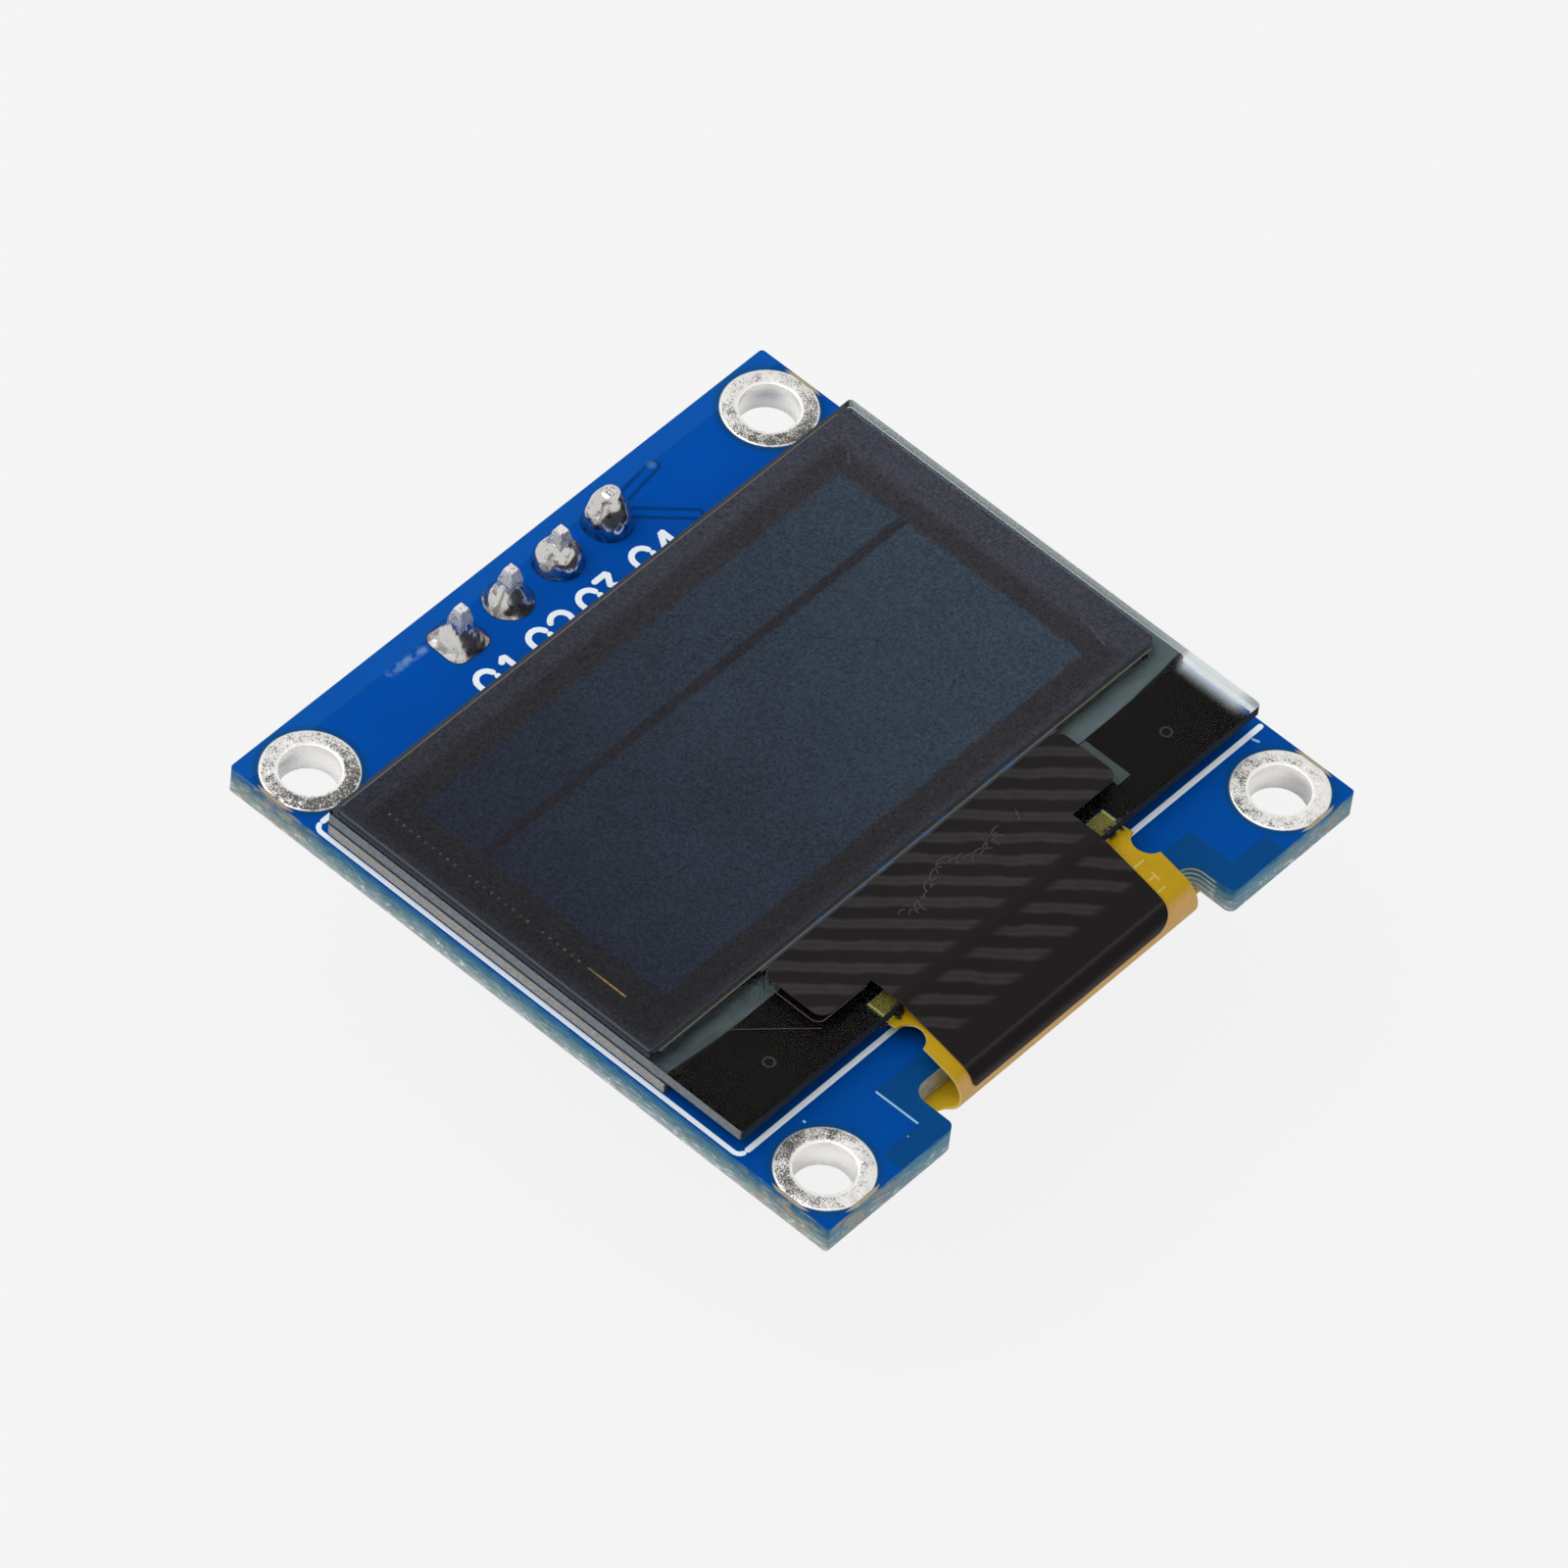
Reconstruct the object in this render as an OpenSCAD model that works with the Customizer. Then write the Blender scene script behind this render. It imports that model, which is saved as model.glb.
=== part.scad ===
// Small OLED display module: a blue circuit board with four plated corner holes
// and a four-pin header, a glass display panel stuck to its face, and the
// panel's folded flex tail soldered to the board's back.
// The display faces +Z. The header edge is at +Y and the flex edge at -Y. The
// origin is the centre of the four holes, on the board's display face.

/* [Display panel] */
// Width of both glasses
panel_w = 26.7; // [26:0.1:27.4]
// Height of the front glass
panel_h = 19.2; // [18.8:0.05:19.8]
// Depth of the ledge, the strip of front glass that the cap glass leaves free
ledge_d = 3.45; // [3.3:0.05:3.7]
// Thickness of each glass
glass_t = 0.55; // [0.5:0.01:0.6]
// Thickness of the adhesive sheet behind the panel
adhesive_t = 0.15; // [0.1:0.01:0.2]
// Thickness of the seal between the glasses
seal_t = 0.05; // [0.04:0.01:0.08]
// Width of the seal along the glass edges
seal_w = 0.9; // [0.7:0.05:1]
// Thickness of the polarizer
polarizer_t = 0.2; // [0.15:0.01:0.25]
// Margin of the lit area from each side of the panel
lit_margin = 2.35; // [2.2:0.05:2.6]
// Margin of the lit area from the panel's far edge
lit_margin_far = 1.95; // [1.8:0.05:2.2]
// Margin of the lit area from the ledge side of the cap glass
lit_margin_ledge = 2.5; // [2.3:0.05:2.8]
// Depth of the recess in the cap glass
recess_d = 0.2; // [0.15:0.05:0.25]

/* [Board] */
// Board shown beside the panel at -X
side_gap_left = 0.2; // [0.1:0.05:0.4]
// Board shown beside the panel at +X
side_gap_right = 0.3; // [0.1:0.05:0.5]
// Board shown between the panel and the header edge
header_land = 4.35; // [4.2:0.05:4.8]
// Board shown between the panel and the flex edge
flex_land = 4.25; // [4.2:0.05:4.6]
// Thickness of the laminate
board_t = 1.2; // [1:0.1:1.6]
// Radius of the board's outer corners
board_r = 0.15; // [0.1:0.05:0.6]
// Radius of the corners at the notch's mouth
mouth_r = 0.3; // [0.1:0.1:0.6]
// Width of the notch that lets the flex tail pass
notch_w = 14.4; // [13.6:0.1:15]
// Depth of the notch
notch_d = 2; // [1.8:0.1:2.2]
// Radius in the notch's inner corners
notch_r = 0.6; // [0.3:0.1:1]

/* [Corner holes] */
// Distance of a hole's centre from the side edge, and from the flex edge
hole_inset = 1.85; // [1.8:0.01:2.1]
// Distance of a hole's centre from the header edge
hole_inset_header = 2.05; // [1.9:0.01:2.2]
// Bore through the plating
hole_d = 2.2; // [2:0.1:2.3]
// Wall of the plated barrel
plating_wall = 0.08; // [0.05:0.01:0.12]
// Diameter of the tinned rings
ring_d = 3.52; // [3.2:0.01:3.6]
// Height of tinned copper above the board
copper_t = 0.04; // [0.03:0.01:0.06]
// Gap kept between copper and the board's edge
edge_gap = 0.12; // [0.08:0.02:0.2]

/* [Header] */
// Pitch of the pins
pin_pitch = 2.54; // [2.5:0.02:2.6]
// Side of a square pin
pin_side = 0.64; // [0.6:0.02:0.66]
// Distance of the pin row from the header edge
pin_inset = 1.6; // [1.5:0.05:1.8]
// Height of the pin tips above the display face
pin_tip = 1.7; // [1.5:0.1:1.8]
// Length of the pins behind the plastic strip
pin_tail = 6; // [4:0.5:8]
// Width and height of the plastic strip
strip_side = 2.54; // [2.4:0.02:2.6]
// Drilled hole for a pin
pin_hole_d = 1; // [0.96:0.02:1.1]
// Diameter of the round solder pads
pad_d = 1.9; // [1.8:0.05:2]
// Height of an ordinary solder joint
solder_h = 0.95; // [0.7:0.05:1.2]
// Height of the last solder joint, a nearly straight cone
last_joint_h = 1.62; // [1.2:0.02:1.64]

/* [Flex tail] */
// Thickness of the flex circuit
flex_t = 0.1; // [0.08:0.01:0.12]
// Half width of the folded strip
strip_half = 6.1; // [5.9:0.05:6.3]
// Gap on the board's back between the soldered tail and the tinned rings
tail_gap = 0.39; // [0.3:0.05:1]
// Distance of the start of the fold from the notch's inner edge
fold_gap = 0.6; // [0.5:0.05:0.7]
// Thickness of the black cover film
film_t = 0.06; // [0.04:0.01:0.08]
// Slope of the film and the flex, down from the glass to the fold
film_slope = 15; // [13:1:16]
// Half width of the film's strip
film_half = 5.15; // [4.8:0.05:5.4]
// Half width of the film's head on the glass ledge
head_half = 7.62; // [7:0.05:7.9]
// Pitch of the solder joints that hold the tail
joint_pitch = 0.62; // [0.6:0.02:0.8]

/* [Parts on the back] */
// Number of resistors, and of capacitors
chip_count = 8; // [4:1:8]
// Pitch of the chips in their rows
chip_pitch = 2.3; // [2.1:0.1:2.4]

/* [Hidden] */
$fn = 64;
eps = 0.01;

// the board is as large as the panel and the land round it
board_w = panel_w + side_gap_left + side_gap_right;
board_h = panel_h + header_land + flex_land;
board_y = (hole_inset_header - hole_inset) / 2;
board_edge_y = board_y - board_h / 2;
board_top_y = board_y + board_h / 2;
notch_y = board_edge_y + notch_d;
back_z = -board_t;

hole_pitch_x = board_w - 2 * hole_inset;
hole_pitch_y = board_h - hole_inset - hole_inset_header;
drill_d = hole_d + 2 * plating_wall;
copper_box_w = board_w - 2 * edge_gap;
copper_box_h = board_h - 2 * edge_gap;

// the four pins, from the square pad at -X to the last round pad at +X
pin_count = 4;
pin_row_y = board_top_y - pin_inset;
pin_bottom = back_z - strip_side - pin_tail;
pin_chamfer = 0.14;
// the tips taper over this length to this side
point_len = 0.55;
point_side = 0.38;
strip_bite = 0.35;
// solder under the board: a low dome in a countersink of the strip
dome_d = pin_hole_d + 0.3;
sink_d = pin_hole_d + 0.4;
sink_h = 0.25;
dome_h = 0.2;
// a bow of 1 is a straight cone, and a larger one is hollower
solder_bow = 1.8;
last_joint_bow = 1.15;
neck_r = pin_side * 0.62;

// the panel's place on the board and its stack of levels, upward from the board
panel_left = -board_w / 2 + side_gap_left;
panel_right = panel_left + panel_w;
ledge_y = board_edge_y + flex_land;
panel_top = ledge_y + panel_h;
cap_y = ledge_y + ledge_d;
cap_z = adhesive_t;
seal_z = cap_z + glass_t;
front_z = seal_z + seal_t;
face_z = front_z + glass_t;
glass_r = 0.15;
adhesive_gap = 0.75;

// the polarizer's edges stand back from the glass by these amounts
polarizer_left = panel_left + 0.2;
polarizer_right = panel_right - 0.62;
polarizer_bottom = cap_y + 1;
polarizer_top = panel_top - 0.32;
polarizer_r = 0.1;

layer_t = 0.02;
desiccant_t = 0.1;
desiccant_gap = 0.9;

cap_h = panel_h - ledge_d;
lit_h = cap_h - lit_margin_far - lit_margin_ledge;

die_w = 12.4;
die_h = 1;
die_t = 0.3;
die_y = cap_y - 1.1;

coat_t = 0.04;
coat_right = panel_right - 0.42;
coat_gap = 0.1;
// the coat leaves a clear window beside the film's head
window_w = 0.7;

// the flex circuit leaves the ledge's underside with a slight rise, turns over
// a hump, runs down a slope under the film, and folds round to the board's back
flex_x = (panel_left + panel_right) / 2 + 0.1;
fold_y = notch_y - fold_gap;
bond_y = ledge_y + 0.95;
rise_a = 10;
hump_r = 3;
hump_dy = hump_r * (sin(rise_a) + sin(film_slope));
hump_dz = hump_r * (cos(film_slope) - cos(rise_a));
// length of the rise that brings the hump's end onto the film's slope
rise_len = (face_z - front_z - hump_dy * tan(film_slope) - hump_dz)
    / (sin(rise_a) + cos(rise_a) * tan(film_slope));
rise_end_y = ledge_y - rise_len * cos(rise_a);
rise_end_z = front_z + rise_len * sin(rise_a);
hump_y = rise_end_y - hump_r * sin(rise_a);
hump_z = rise_end_z - hump_r * cos(rise_a);
slope_y = rise_end_y - hump_dy;
slope_z = rise_end_z + hump_dz;
fold_z = slope_z - (slope_y - fold_y) * tan(film_slope);
tail_z = back_z - copper_t - flex_t;
fold_r = (fold_z - tail_z) / (1 + cos(film_slope));
fold_cy = fold_y + fold_r * sin(film_slope);
fold_cz = fold_z - fold_r * cos(film_slope);
tail_half = hole_pitch_x / 2 - ring_d / 2 - tail_gap;
// the tail reaches this far past the notch's inner edge
tail_reach = 3.1;
tail_end_y = notch_y + tail_reach;
tail_front_y = fold_y + 0.05;
tail_fillet = 0.5;
tail_r = 0.3;
waist_r = 0.62;
waist_y = ledge_y - 1.05;
waist_out = 0.1;
// a line beyond the fold, where the flat outlines may begin
beyond_y = fold_cy - 2 * fold_r;
// the two outlines share this much of the fold, where both are the same strip
fold_lap = 0.2;

film_x = flex_x - 0.35;
film_end_a = 75;
film_head_top = polarizer_bottom - 0.3;
film_head_h = 2.85;
film_head_bottom = film_head_top - film_head_h;
film_r = 0.5;
// lower corners of the film's strip
film_corner_left = 0.15;
film_corner_right = 0.9;
film_end_z = fold_cz + (fold_r + film_t) * cos(film_end_a);
resin_w = 9.6;
resin_d = 0.45;

joint_w = 0.36;
joint_count = floor((2 * tail_half - joint_w) / joint_pitch);
joint_len = 1.3;
joint_h = 0.24;

chip_l = 1.6;
chip_w = 0.8;
resistor_t = 0.45;
capacitor_t = 0.8;
chip_fillet = 0.3;
row_gap = 2.8;
row_pitch = 3.3;
capacitor_y = tail_end_y + row_gap;
resistor_y = capacitor_y + row_pitch;

// three-legged package and diode, at one distance from the header edge:
// bodies, standoff, legs and their feet
package_y = board_top_y - 7.4;
regulator_at = [-6.2, package_y];
regulator_w = 2.9;
regulator_h = 1.3;
regulator_t = 1;
standoff = 0.05;
leg_w = 0.4;
leg_t = 0.12;
leg_foot = 0.35;
leg_pitch = 0.95;
leg_out = 0.2;
leg_z = 0.55;

diode_at = [6.4, package_y];
diode_w = 1.24;
diode_h = 1.7;
diode_t = 0.9;
tab_w = 0.3;
tab_out = 0.4;
tab_t = 0.13;

function pin_x(i) = (i - (pin_count + 1) / 2) * pin_pitch;
function chip_x(i) = (i - (chip_count + 1) / 2) * chip_pitch;
// hole 1 is by the header at -X, and the others follow clockwise
function hole_at(i) = [(i == 1 || i == 4 ? -1 : 1) * hole_pitch_x / 2,
                       (i <= 2 ? 1 : -1) * hole_pitch_y / 2];

// ---- flat shapes ----

module rounded_rect(x0, y0, x1, y1, r) {
    union() {
        translate([x0 + r, y0]) square([x1 - x0 - 2 * r, y1 - y0]);
        translate([x0, y0 + r]) square([x1 - x0, y1 - y0 - 2 * r]);
        for (x = [x0 + r, x1 - r], y = [y0 + r, y1 - r])
            translate([x, y]) circle(r = r);
    }
}

// a square corner with its round bite left out, for a rounded edge; sx and sy
// point from the corner into the material
module corner_bite(x, y, r, sx, sy) {
    difference() {
        translate([x - (sx > 0 ? eps : r), y - (sy > 0 ? eps : r)])
            square([r + eps, r + eps]);
        translate([x + sx * r, y + sy * r]) circle(r = r);
    }
}

// points on an arc, with angles measured from +Y toward -X
function arc_points(c, r, a0, a1, step = 5) =
    let (n = ceil(abs(a1 - a0) / step))
    [for (k = [0:n]) let (a = a0 + (a1 - a0) * k / n) c + r * [-sin(a), cos(a)]];

// extrudes a profile drawn in Y and Z along X, about the plane x = 0
module along_x(w) {
    rotate([90, 0, 90]) linear_extrude(w, center = true) children();
}

// ---- board ----

module board_outline() {
    half_w = board_w / 2;
    mouth = notch_w / 2;
    difference() {
        rounded_rect(-half_w, board_edge_y, half_w, board_top_y, board_r);
        rounded_rect(-mouth, board_edge_y - notch_d, mouth, notch_y, notch_r);
        corner_bite(-mouth, board_edge_y, mouth_r, -1, 1);
        corner_bite(mouth, board_edge_y, mouth_r, 1, 1);
    }
}

module circuit_board() {
    color("#00479b") translate([0, 0, back_z]) difference() {
        linear_extrude(board_t) board_outline();
        for (i = [1:4]) translate([hole_at(i).x, hole_at(i).y, -board_t])
            cylinder(d = drill_d, h = 3 * board_t);
        for (i = [1:pin_count]) translate([pin_x(i), pin_row_y, -board_t])
            cylinder(d = pin_hole_d, h = 3 * board_t);
    }
}

// a tinned barrel with a ring on each face, cut straight near the board's edge
module hole_plating(i) {
    at = hole_at(i);
    color("silver") difference() {
        union() {
            translate([at.x, at.y, back_z - copper_t])
                cylinder(d = drill_d, h = board_t + 2 * copper_t);
            intersection() {
                for (z = [0, back_z - copper_t]) translate([at.x, at.y, z])
                    cylinder(d = ring_d, h = copper_t);
                translate([-copper_box_w / 2, board_y - copper_box_h / 2, 2 * back_z])
                    cube([copper_box_w, copper_box_h, 3 * board_t]);
            }
        }
        translate([at.x, at.y, 2 * back_z]) cylinder(d = hole_d, h = 3 * board_t);
    }
}

// ---- header ----

// a bar outline with a chamfered end and a tapered tip, for one of a pin's two
// side views
module pin_side_view(z0, z1) {
    s = pin_side / 2;
    c = pin_chamfer;
    p = point_side / 2;
    polygon([[-s, z0 + c], [-s + c, z0], [s - c, z0], [s, z0 + c],
             [s, z1 - point_len], [p, z1], [-p, z1], [-s, z1 - point_len]]);
}

// a pin at the origin, the meeting of its two side views
module pin() {
    intersection() {
        along_x(pin_side) pin_side_view(pin_bottom, pin_tip);
        rotate([90, 0, 0]) linear_extrude(pin_side, center = true)
            pin_side_view(pin_bottom, pin_tip);
    }
}

module header_pin(i) {
    color("silver") translate([pin_x(i), pin_row_y, 0]) pin();
}

// one long side of the strip, a row of cells with a notch between each pair
function strip_edge(side) =
    let (y = side * strip_side / 2, half = pin_pitch / 2)
    concat(
        [for (i = [1:pin_count], p = [[-half, y - side * strip_bite],
                                      [strip_bite - half, y], [half - strip_bite, y]])
            [pin_x(i) + p.x, p.y]],
        [[pin_x(pin_count) + half, y - side * strip_bite]]);

module header_strip() {
    far = strip_edge(1);
    color("#151515") translate([0, pin_row_y, back_z - strip_side]) difference() {
        linear_extrude(strip_side)
            polygon(concat(strip_edge(-1), [for (k = [len(far) - 1:-1:0]) far[k]]));
        for (i = [1:pin_count]) {
            translate([pin_x(i) - pin_side / 2, -pin_side / 2, -strip_side])
                cube([pin_side, pin_side, 3 * strip_side]);
            // room for the solder that wicks through the hole
            translate([pin_x(i), 0, strip_side - sink_h])
                cylinder(d = sink_d, h = 2 * sink_h);
        }
    }
}

// a fillet of solder: wide at the pad and narrow up the pin
module solder_profile(r, h, bow) {
    steps = 8;
    polygon(concat([[0, 0]],
        [for (k = [0:steps]) let (t = k / steps)
            [neck_r + (r - neck_r) * pow(1 - t, bow), t * h]],
        [[0, h]]));
}

// solder up the pin, through the hole and in a low dome under the board; the
// first pad is square
module solder_joint(i) {
    h = i == pin_count ? last_joint_h : solder_h;
    bow = i == pin_count ? last_joint_bow : solder_bow;
    r = pad_d / 2;
    color("gainsboro") translate([pin_x(i), pin_row_y, 0]) difference() {
        union() {
            if (i == 1)
                intersection() {
                    rotate_extrude() solder_profile(r * 1.38, h, bow);
                    translate([-r, -r, -h]) cube([2 * r, 2 * r, 3 * h]);
                }
            else
                rotate_extrude() solder_profile(r, h, bow);
            translate([0, 0, back_z - eps]) cylinder(d = pin_hole_d, h = board_t + 2 * eps);
            translate([0, 0, back_z - dome_h]) cylinder(d = dome_d, h = dome_h);
        }
        pin();
    }
}

// ---- display panel ----

module panel_adhesive() {
    color("#d8d8d0") translate([panel_left + adhesive_gap, cap_y + adhesive_gap, 0])
        cube([panel_w - 2 * adhesive_gap, cap_h - 2 * adhesive_gap, adhesive_t]);
}

module cap_glass() {
    color([0.6, 0.64, 0.62, 0.6]) translate([0, 0, cap_z]) difference() {
        linear_extrude(glass_t)
            rounded_rect(panel_left, cap_y, panel_right, panel_top, glass_r);
        translate([panel_left + seal_w, cap_y + seal_w, glass_t - recess_d])
            cube([panel_w - 2 * seal_w, cap_h - 2 * seal_w, 2 * recess_d]);
    }
}

module desiccant_sheet() {
    g = lit_margin + desiccant_gap;
    color("#8b8d88")
        translate([panel_left + g, cap_y + lit_margin_ledge + desiccant_gap, seal_z - recess_d])
            cube([panel_w - 2 * g, lit_h - 2 * desiccant_gap, desiccant_t]);
}

module seal_frame() {
    color("#4a524c") translate([0, 0, seal_z]) linear_extrude(seal_t) difference() {
        rounded_rect(panel_left, cap_y, panel_right, panel_top, glass_r);
        translate([panel_left + seal_w, cap_y + seal_w])
            square([panel_w - 2 * seal_w, cap_h - 2 * seal_w]);
    }
}

module pixel_layer() {
    color("#2f3c48")
        translate([panel_left + lit_margin, cap_y + lit_margin_ledge, front_z - layer_t])
            cube([panel_w - 2 * lit_margin, lit_h, layer_t]);
}

module front_glass() {
    color([0.6, 0.64, 0.62, 0.6]) translate([0, 0, front_z]) linear_extrude(glass_t)
        rounded_rect(panel_left, ledge_y, panel_right, panel_top, glass_r);
}

module polarizer() {
    color("#2c2b33") translate([0, 0, face_z]) linear_extrude(polarizer_t)
        rounded_rect(polarizer_left, polarizer_bottom, polarizer_right, polarizer_top,
                     polarizer_r);
}

module driver_die() {
    color("#22252b")
        translate([flex_x - die_w / 2, die_y - die_h / 2, front_z - die_t])
            cube([die_w, die_h, die_t]);
}

// black coat on the ledge's underside, round the die and the bonded flex
module ledge_coat() {
    color("#171414") translate([0, 0, front_z - coat_t]) linear_extrude(coat_t) difference() {
        translate([panel_left + coat_gap, ledge_y + coat_gap])
            square([coat_right - panel_left - coat_gap, ledge_d - coat_gap]);
        translate([flex_x - die_w / 2 - coat_gap, die_y - die_h / 2 - coat_gap])
            square([die_w + 2 * coat_gap, die_h + 2 * coat_gap]);
        translate([flex_x - strip_half - coat_gap, ledge_y])
            square([2 * (strip_half + coat_gap), bond_y - ledge_y + coat_gap]);
        translate([film_x + head_half, film_head_bottom])
            square([window_w, cap_y - film_head_bottom + coat_gap]);
    }
}

// ---- flex tail ----

// the flex circuit's section, from its bonded end to its soldered end: the
// outer side that faces the film, then the inner side back again
module flex_section() {
    hump = [hump_y, hump_z];
    fold = [fold_cy, fold_cz];
    polygon(concat(
        [[bond_y, front_z], [ledge_y, front_z]],
        arc_points(hump, hump_r, -rise_a, film_slope),
        arc_points(fold, fold_r, film_slope, 180),
        [[tail_end_y, tail_z], [tail_end_y, tail_z + flex_t]],
        arc_points(fold, fold_r - flex_t, 180, film_slope),
        arc_points(hump, hump_r - flex_t, film_slope, -rise_a),
        [[ledge_y - flex_t * tan(rise_a / 2), front_z - flex_t],
         [bond_y, front_z - flex_t]]));
}

// outline on the display side: a strip with a round bite in each edge
module flex_front_outline() {
    difference() {
        translate([-strip_half, beyond_y]) square([2 * strip_half, bond_y - beyond_y]);
        for (s = [-1, 1]) translate([s * (strip_half + waist_out), waist_y])
            circle(r = waist_r);
    }
}

// outline on the back: the strip widens to the soldered tail
module flex_back_outline() {
    union() {
        translate([-strip_half, beyond_y]) square([2 * strip_half, tail_end_y - beyond_y]);
        rounded_rect(-tail_half, tail_front_y, tail_half, tail_end_y, tail_r);
        for (s = [-1, 1]) difference() {
            translate([s * strip_half - (s < 0 ? tail_fillet : 0), tail_front_y - tail_fillet])
                square([tail_fillet, tail_fillet + tail_r]);
            translate([s * (strip_half + tail_fillet), tail_front_y - tail_fillet])
                circle(r = tail_fillet);
        }
    }
}

module flex_circuit() {
    color("#cf9a12") translate([flex_x, 0, 0]) intersection() {
        along_x(3 * tail_half) flex_section();
        union() {
            translate([0, 0, fold_cz - fold_lap]) linear_extrude(2 * face_z)
                flex_front_outline();
            translate([0, 0, 2 * back_z]) linear_extrude(fold_cz - 2 * back_z)
                flex_back_outline();
        }
    }
}

// bead of dark resin along the glass edge, between the flex and the film
module edge_resin() {
    color("#1b1512") translate([flex_x, 0, 0]) along_x(resin_w) polygon([
        [ledge_y, front_z],
        [ledge_y, face_z],
        [ledge_y - resin_d, face_z - resin_d * tan(film_slope)],
        [ledge_y - resin_d, front_z + resin_d * tan(rise_a)]]);
}

// the film's section: flat on the ledge, bent over the glass edge, straight
// down to the fold, and round it part of the way
module film_section() {
    edge = [ledge_y, face_z];
    fold = [fold_cy, fold_cz];
    polygon(concat(
        [[film_head_top, face_z], edge],
        arc_points(fold, fold_r, film_slope, film_end_a),
        arc_points(fold, fold_r + film_t, film_end_a, film_slope),
        arc_points(edge, film_t, film_slope, 0),
        [[film_head_top, face_z + film_t]]));
}

module film_outline() {
    union() {
        rounded_rect(-head_half, film_head_bottom, head_half, film_head_top, film_r);
        translate([-film_half, beyond_y])
            square([2 * film_half, film_head_top - film_r - beyond_y]);
    }
}

// the film seen from the front: the head above, and the strip with its lower
// corners rounded
module film_front_view() {
    translate([-head_half, face_z - eps]) square([2 * head_half, face_z]);
    rounded_rect(-film_half, film_end_z, 0, 2 * face_z, film_corner_left);
    rounded_rect(-film_corner_right, film_end_z, film_half, 2 * face_z, film_corner_right);
}

module cover_film() {
    color("#1a1818") translate([film_x, 0, 0]) intersection() {
        along_x(3 * head_half) film_section();
        translate([0, 0, 2 * back_z]) linear_extrude(2 * (face_z - back_z)) film_outline();
        rotate([90, 0, 0]) linear_extrude(4 * board_h, center = true) film_front_view();
    }
}

// a row of small joints over the end of the tail
module tail_solder() {
    color("gainsboro") difference() {
        for (k = [0:joint_count - 1])
            translate([flex_x + (k - (joint_count - 1) / 2) * joint_pitch - joint_w / 2,
                       tail_end_y - joint_len * 0.55, back_z - joint_h])
                cube([joint_w, joint_len, joint_h]);
        translate([flex_x - tail_half, fold_cy, tail_z])
            cube([2 * tail_half, tail_end_y - fold_cy, board_t]);
    }
}

// ---- parts on the back ----

module chip(x, y, t) {
    translate([x - chip_w / 2, y - chip_l / 2, back_z - t]) cube([chip_w, chip_l, t]);
}

module resistor(i) {
    color("#1c1c20") chip(chip_x(i), resistor_y, resistor_t);
}

module capacitor(i) {
    color("#b08a5c") chip(chip_x(i), capacitor_y, capacitor_t);
}

// a wedge of solder at each end of every chip
module chip_solder() {
    color("gainsboro") for (i = [1:chip_count], y = [resistor_y, capacitor_y], s = [-1, 1])
        translate([chip_x(i), y + s * chip_l / 2, back_z])
            along_x(chip_w) polygon([[0, 0], [s * chip_fillet, 0], [0, -chip_fillet]]);
}

// a small package with one leg at +Y and two at -Y
module regulator() {
    color("#202022") translate([regulator_at.x, regulator_at.y, back_z]) union() {
        translate([-regulator_w / 2, -regulator_h / 2, -regulator_t - standoff])
            cube([regulator_w, regulator_h, regulator_t]);
        for (x = [-leg_pitch, leg_pitch]) translate([x - leg_w / 2, 0, 0])
            mirror([0, 1, 0]) leg();
        translate([-leg_w / 2, 0, 0]) leg();
    }
}

// a gull-wing leg that leaves the body at half height and ends flat on the board
module leg() {
    y = regulator_h / 2;
    rotate([90, 0, 90]) linear_extrude(leg_w) polygon([
        [y - leg_t, -leg_z], [y + leg_out, -leg_z], [y + leg_out, -leg_t],
        [y + leg_out + leg_foot, -leg_t], [y + leg_out + leg_foot, 0],
        [y + leg_out - leg_t, 0], [y + leg_out - leg_t, leg_t - leg_z],
        [y - leg_t, leg_t - leg_z]]);
}

module diode() {
    color("#202022") translate([diode_at.x, diode_at.y, back_z]) union() {
        translate([-diode_w / 2, -diode_h / 2, -diode_t - standoff])
            cube([diode_w, diode_h, diode_t]);
        translate([-tab_w / 2, -diode_h / 2 - tab_out, -tab_t])
            cube([tab_w, diode_h + 2 * tab_out, tab_t]);
    }
}

circuit_board();
hole_plating(1);  // hole_plating_1
hole_plating(2);  // hole_plating_2
hole_plating(3);  // hole_plating_3
hole_plating(4);  // hole_plating_4
header_strip();
header_pin(1);  // header_pin_1
header_pin(2);  // header_pin_2
header_pin(3);  // header_pin_3
header_pin(4);  // header_pin_4
solder_joint(1);  // solder_joint_1
solder_joint(2);  // solder_joint_2
solder_joint(3);  // solder_joint_3
solder_joint(4);  // solder_joint_4
panel_adhesive();
cap_glass();
desiccant_sheet();
seal_frame();
pixel_layer();
front_glass();
polarizer();
driver_die();
ledge_coat();
flex_circuit();
edge_resin();
cover_film();
tail_solder();
regulator();
diode();
resistor(1);  // resistor_1
resistor(2);  // resistor_2
resistor(3);  // resistor_3
resistor(4);  // resistor_4
resistor(5);  // resistor_5
resistor(6);  // resistor_6
resistor(7);  // resistor_7
resistor(8);  // resistor_8
capacitor(1);  // capacitor_1
capacitor(2);  // capacitor_2
capacitor(3);  // capacitor_3
capacitor(4);  // capacitor_4
capacitor(5);  // capacitor_5
capacitor(6);  // capacitor_6
capacitor(7);  // capacitor_7
capacitor(8);  // capacitor_8
chip_solder();
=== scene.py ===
"""Small OLED display module: finishes and fine pieces for the board, its tinned holes, the soldered header,
the glass display panel, the folded flex tail and the parts on the back, with a plain studio stage."""

import math

import bmesh
import bpy
import numpy as np
from bpy.props import FloatProperty, FloatVectorProperty, PointerProperty
from mathutils import Matrix, Vector


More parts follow.
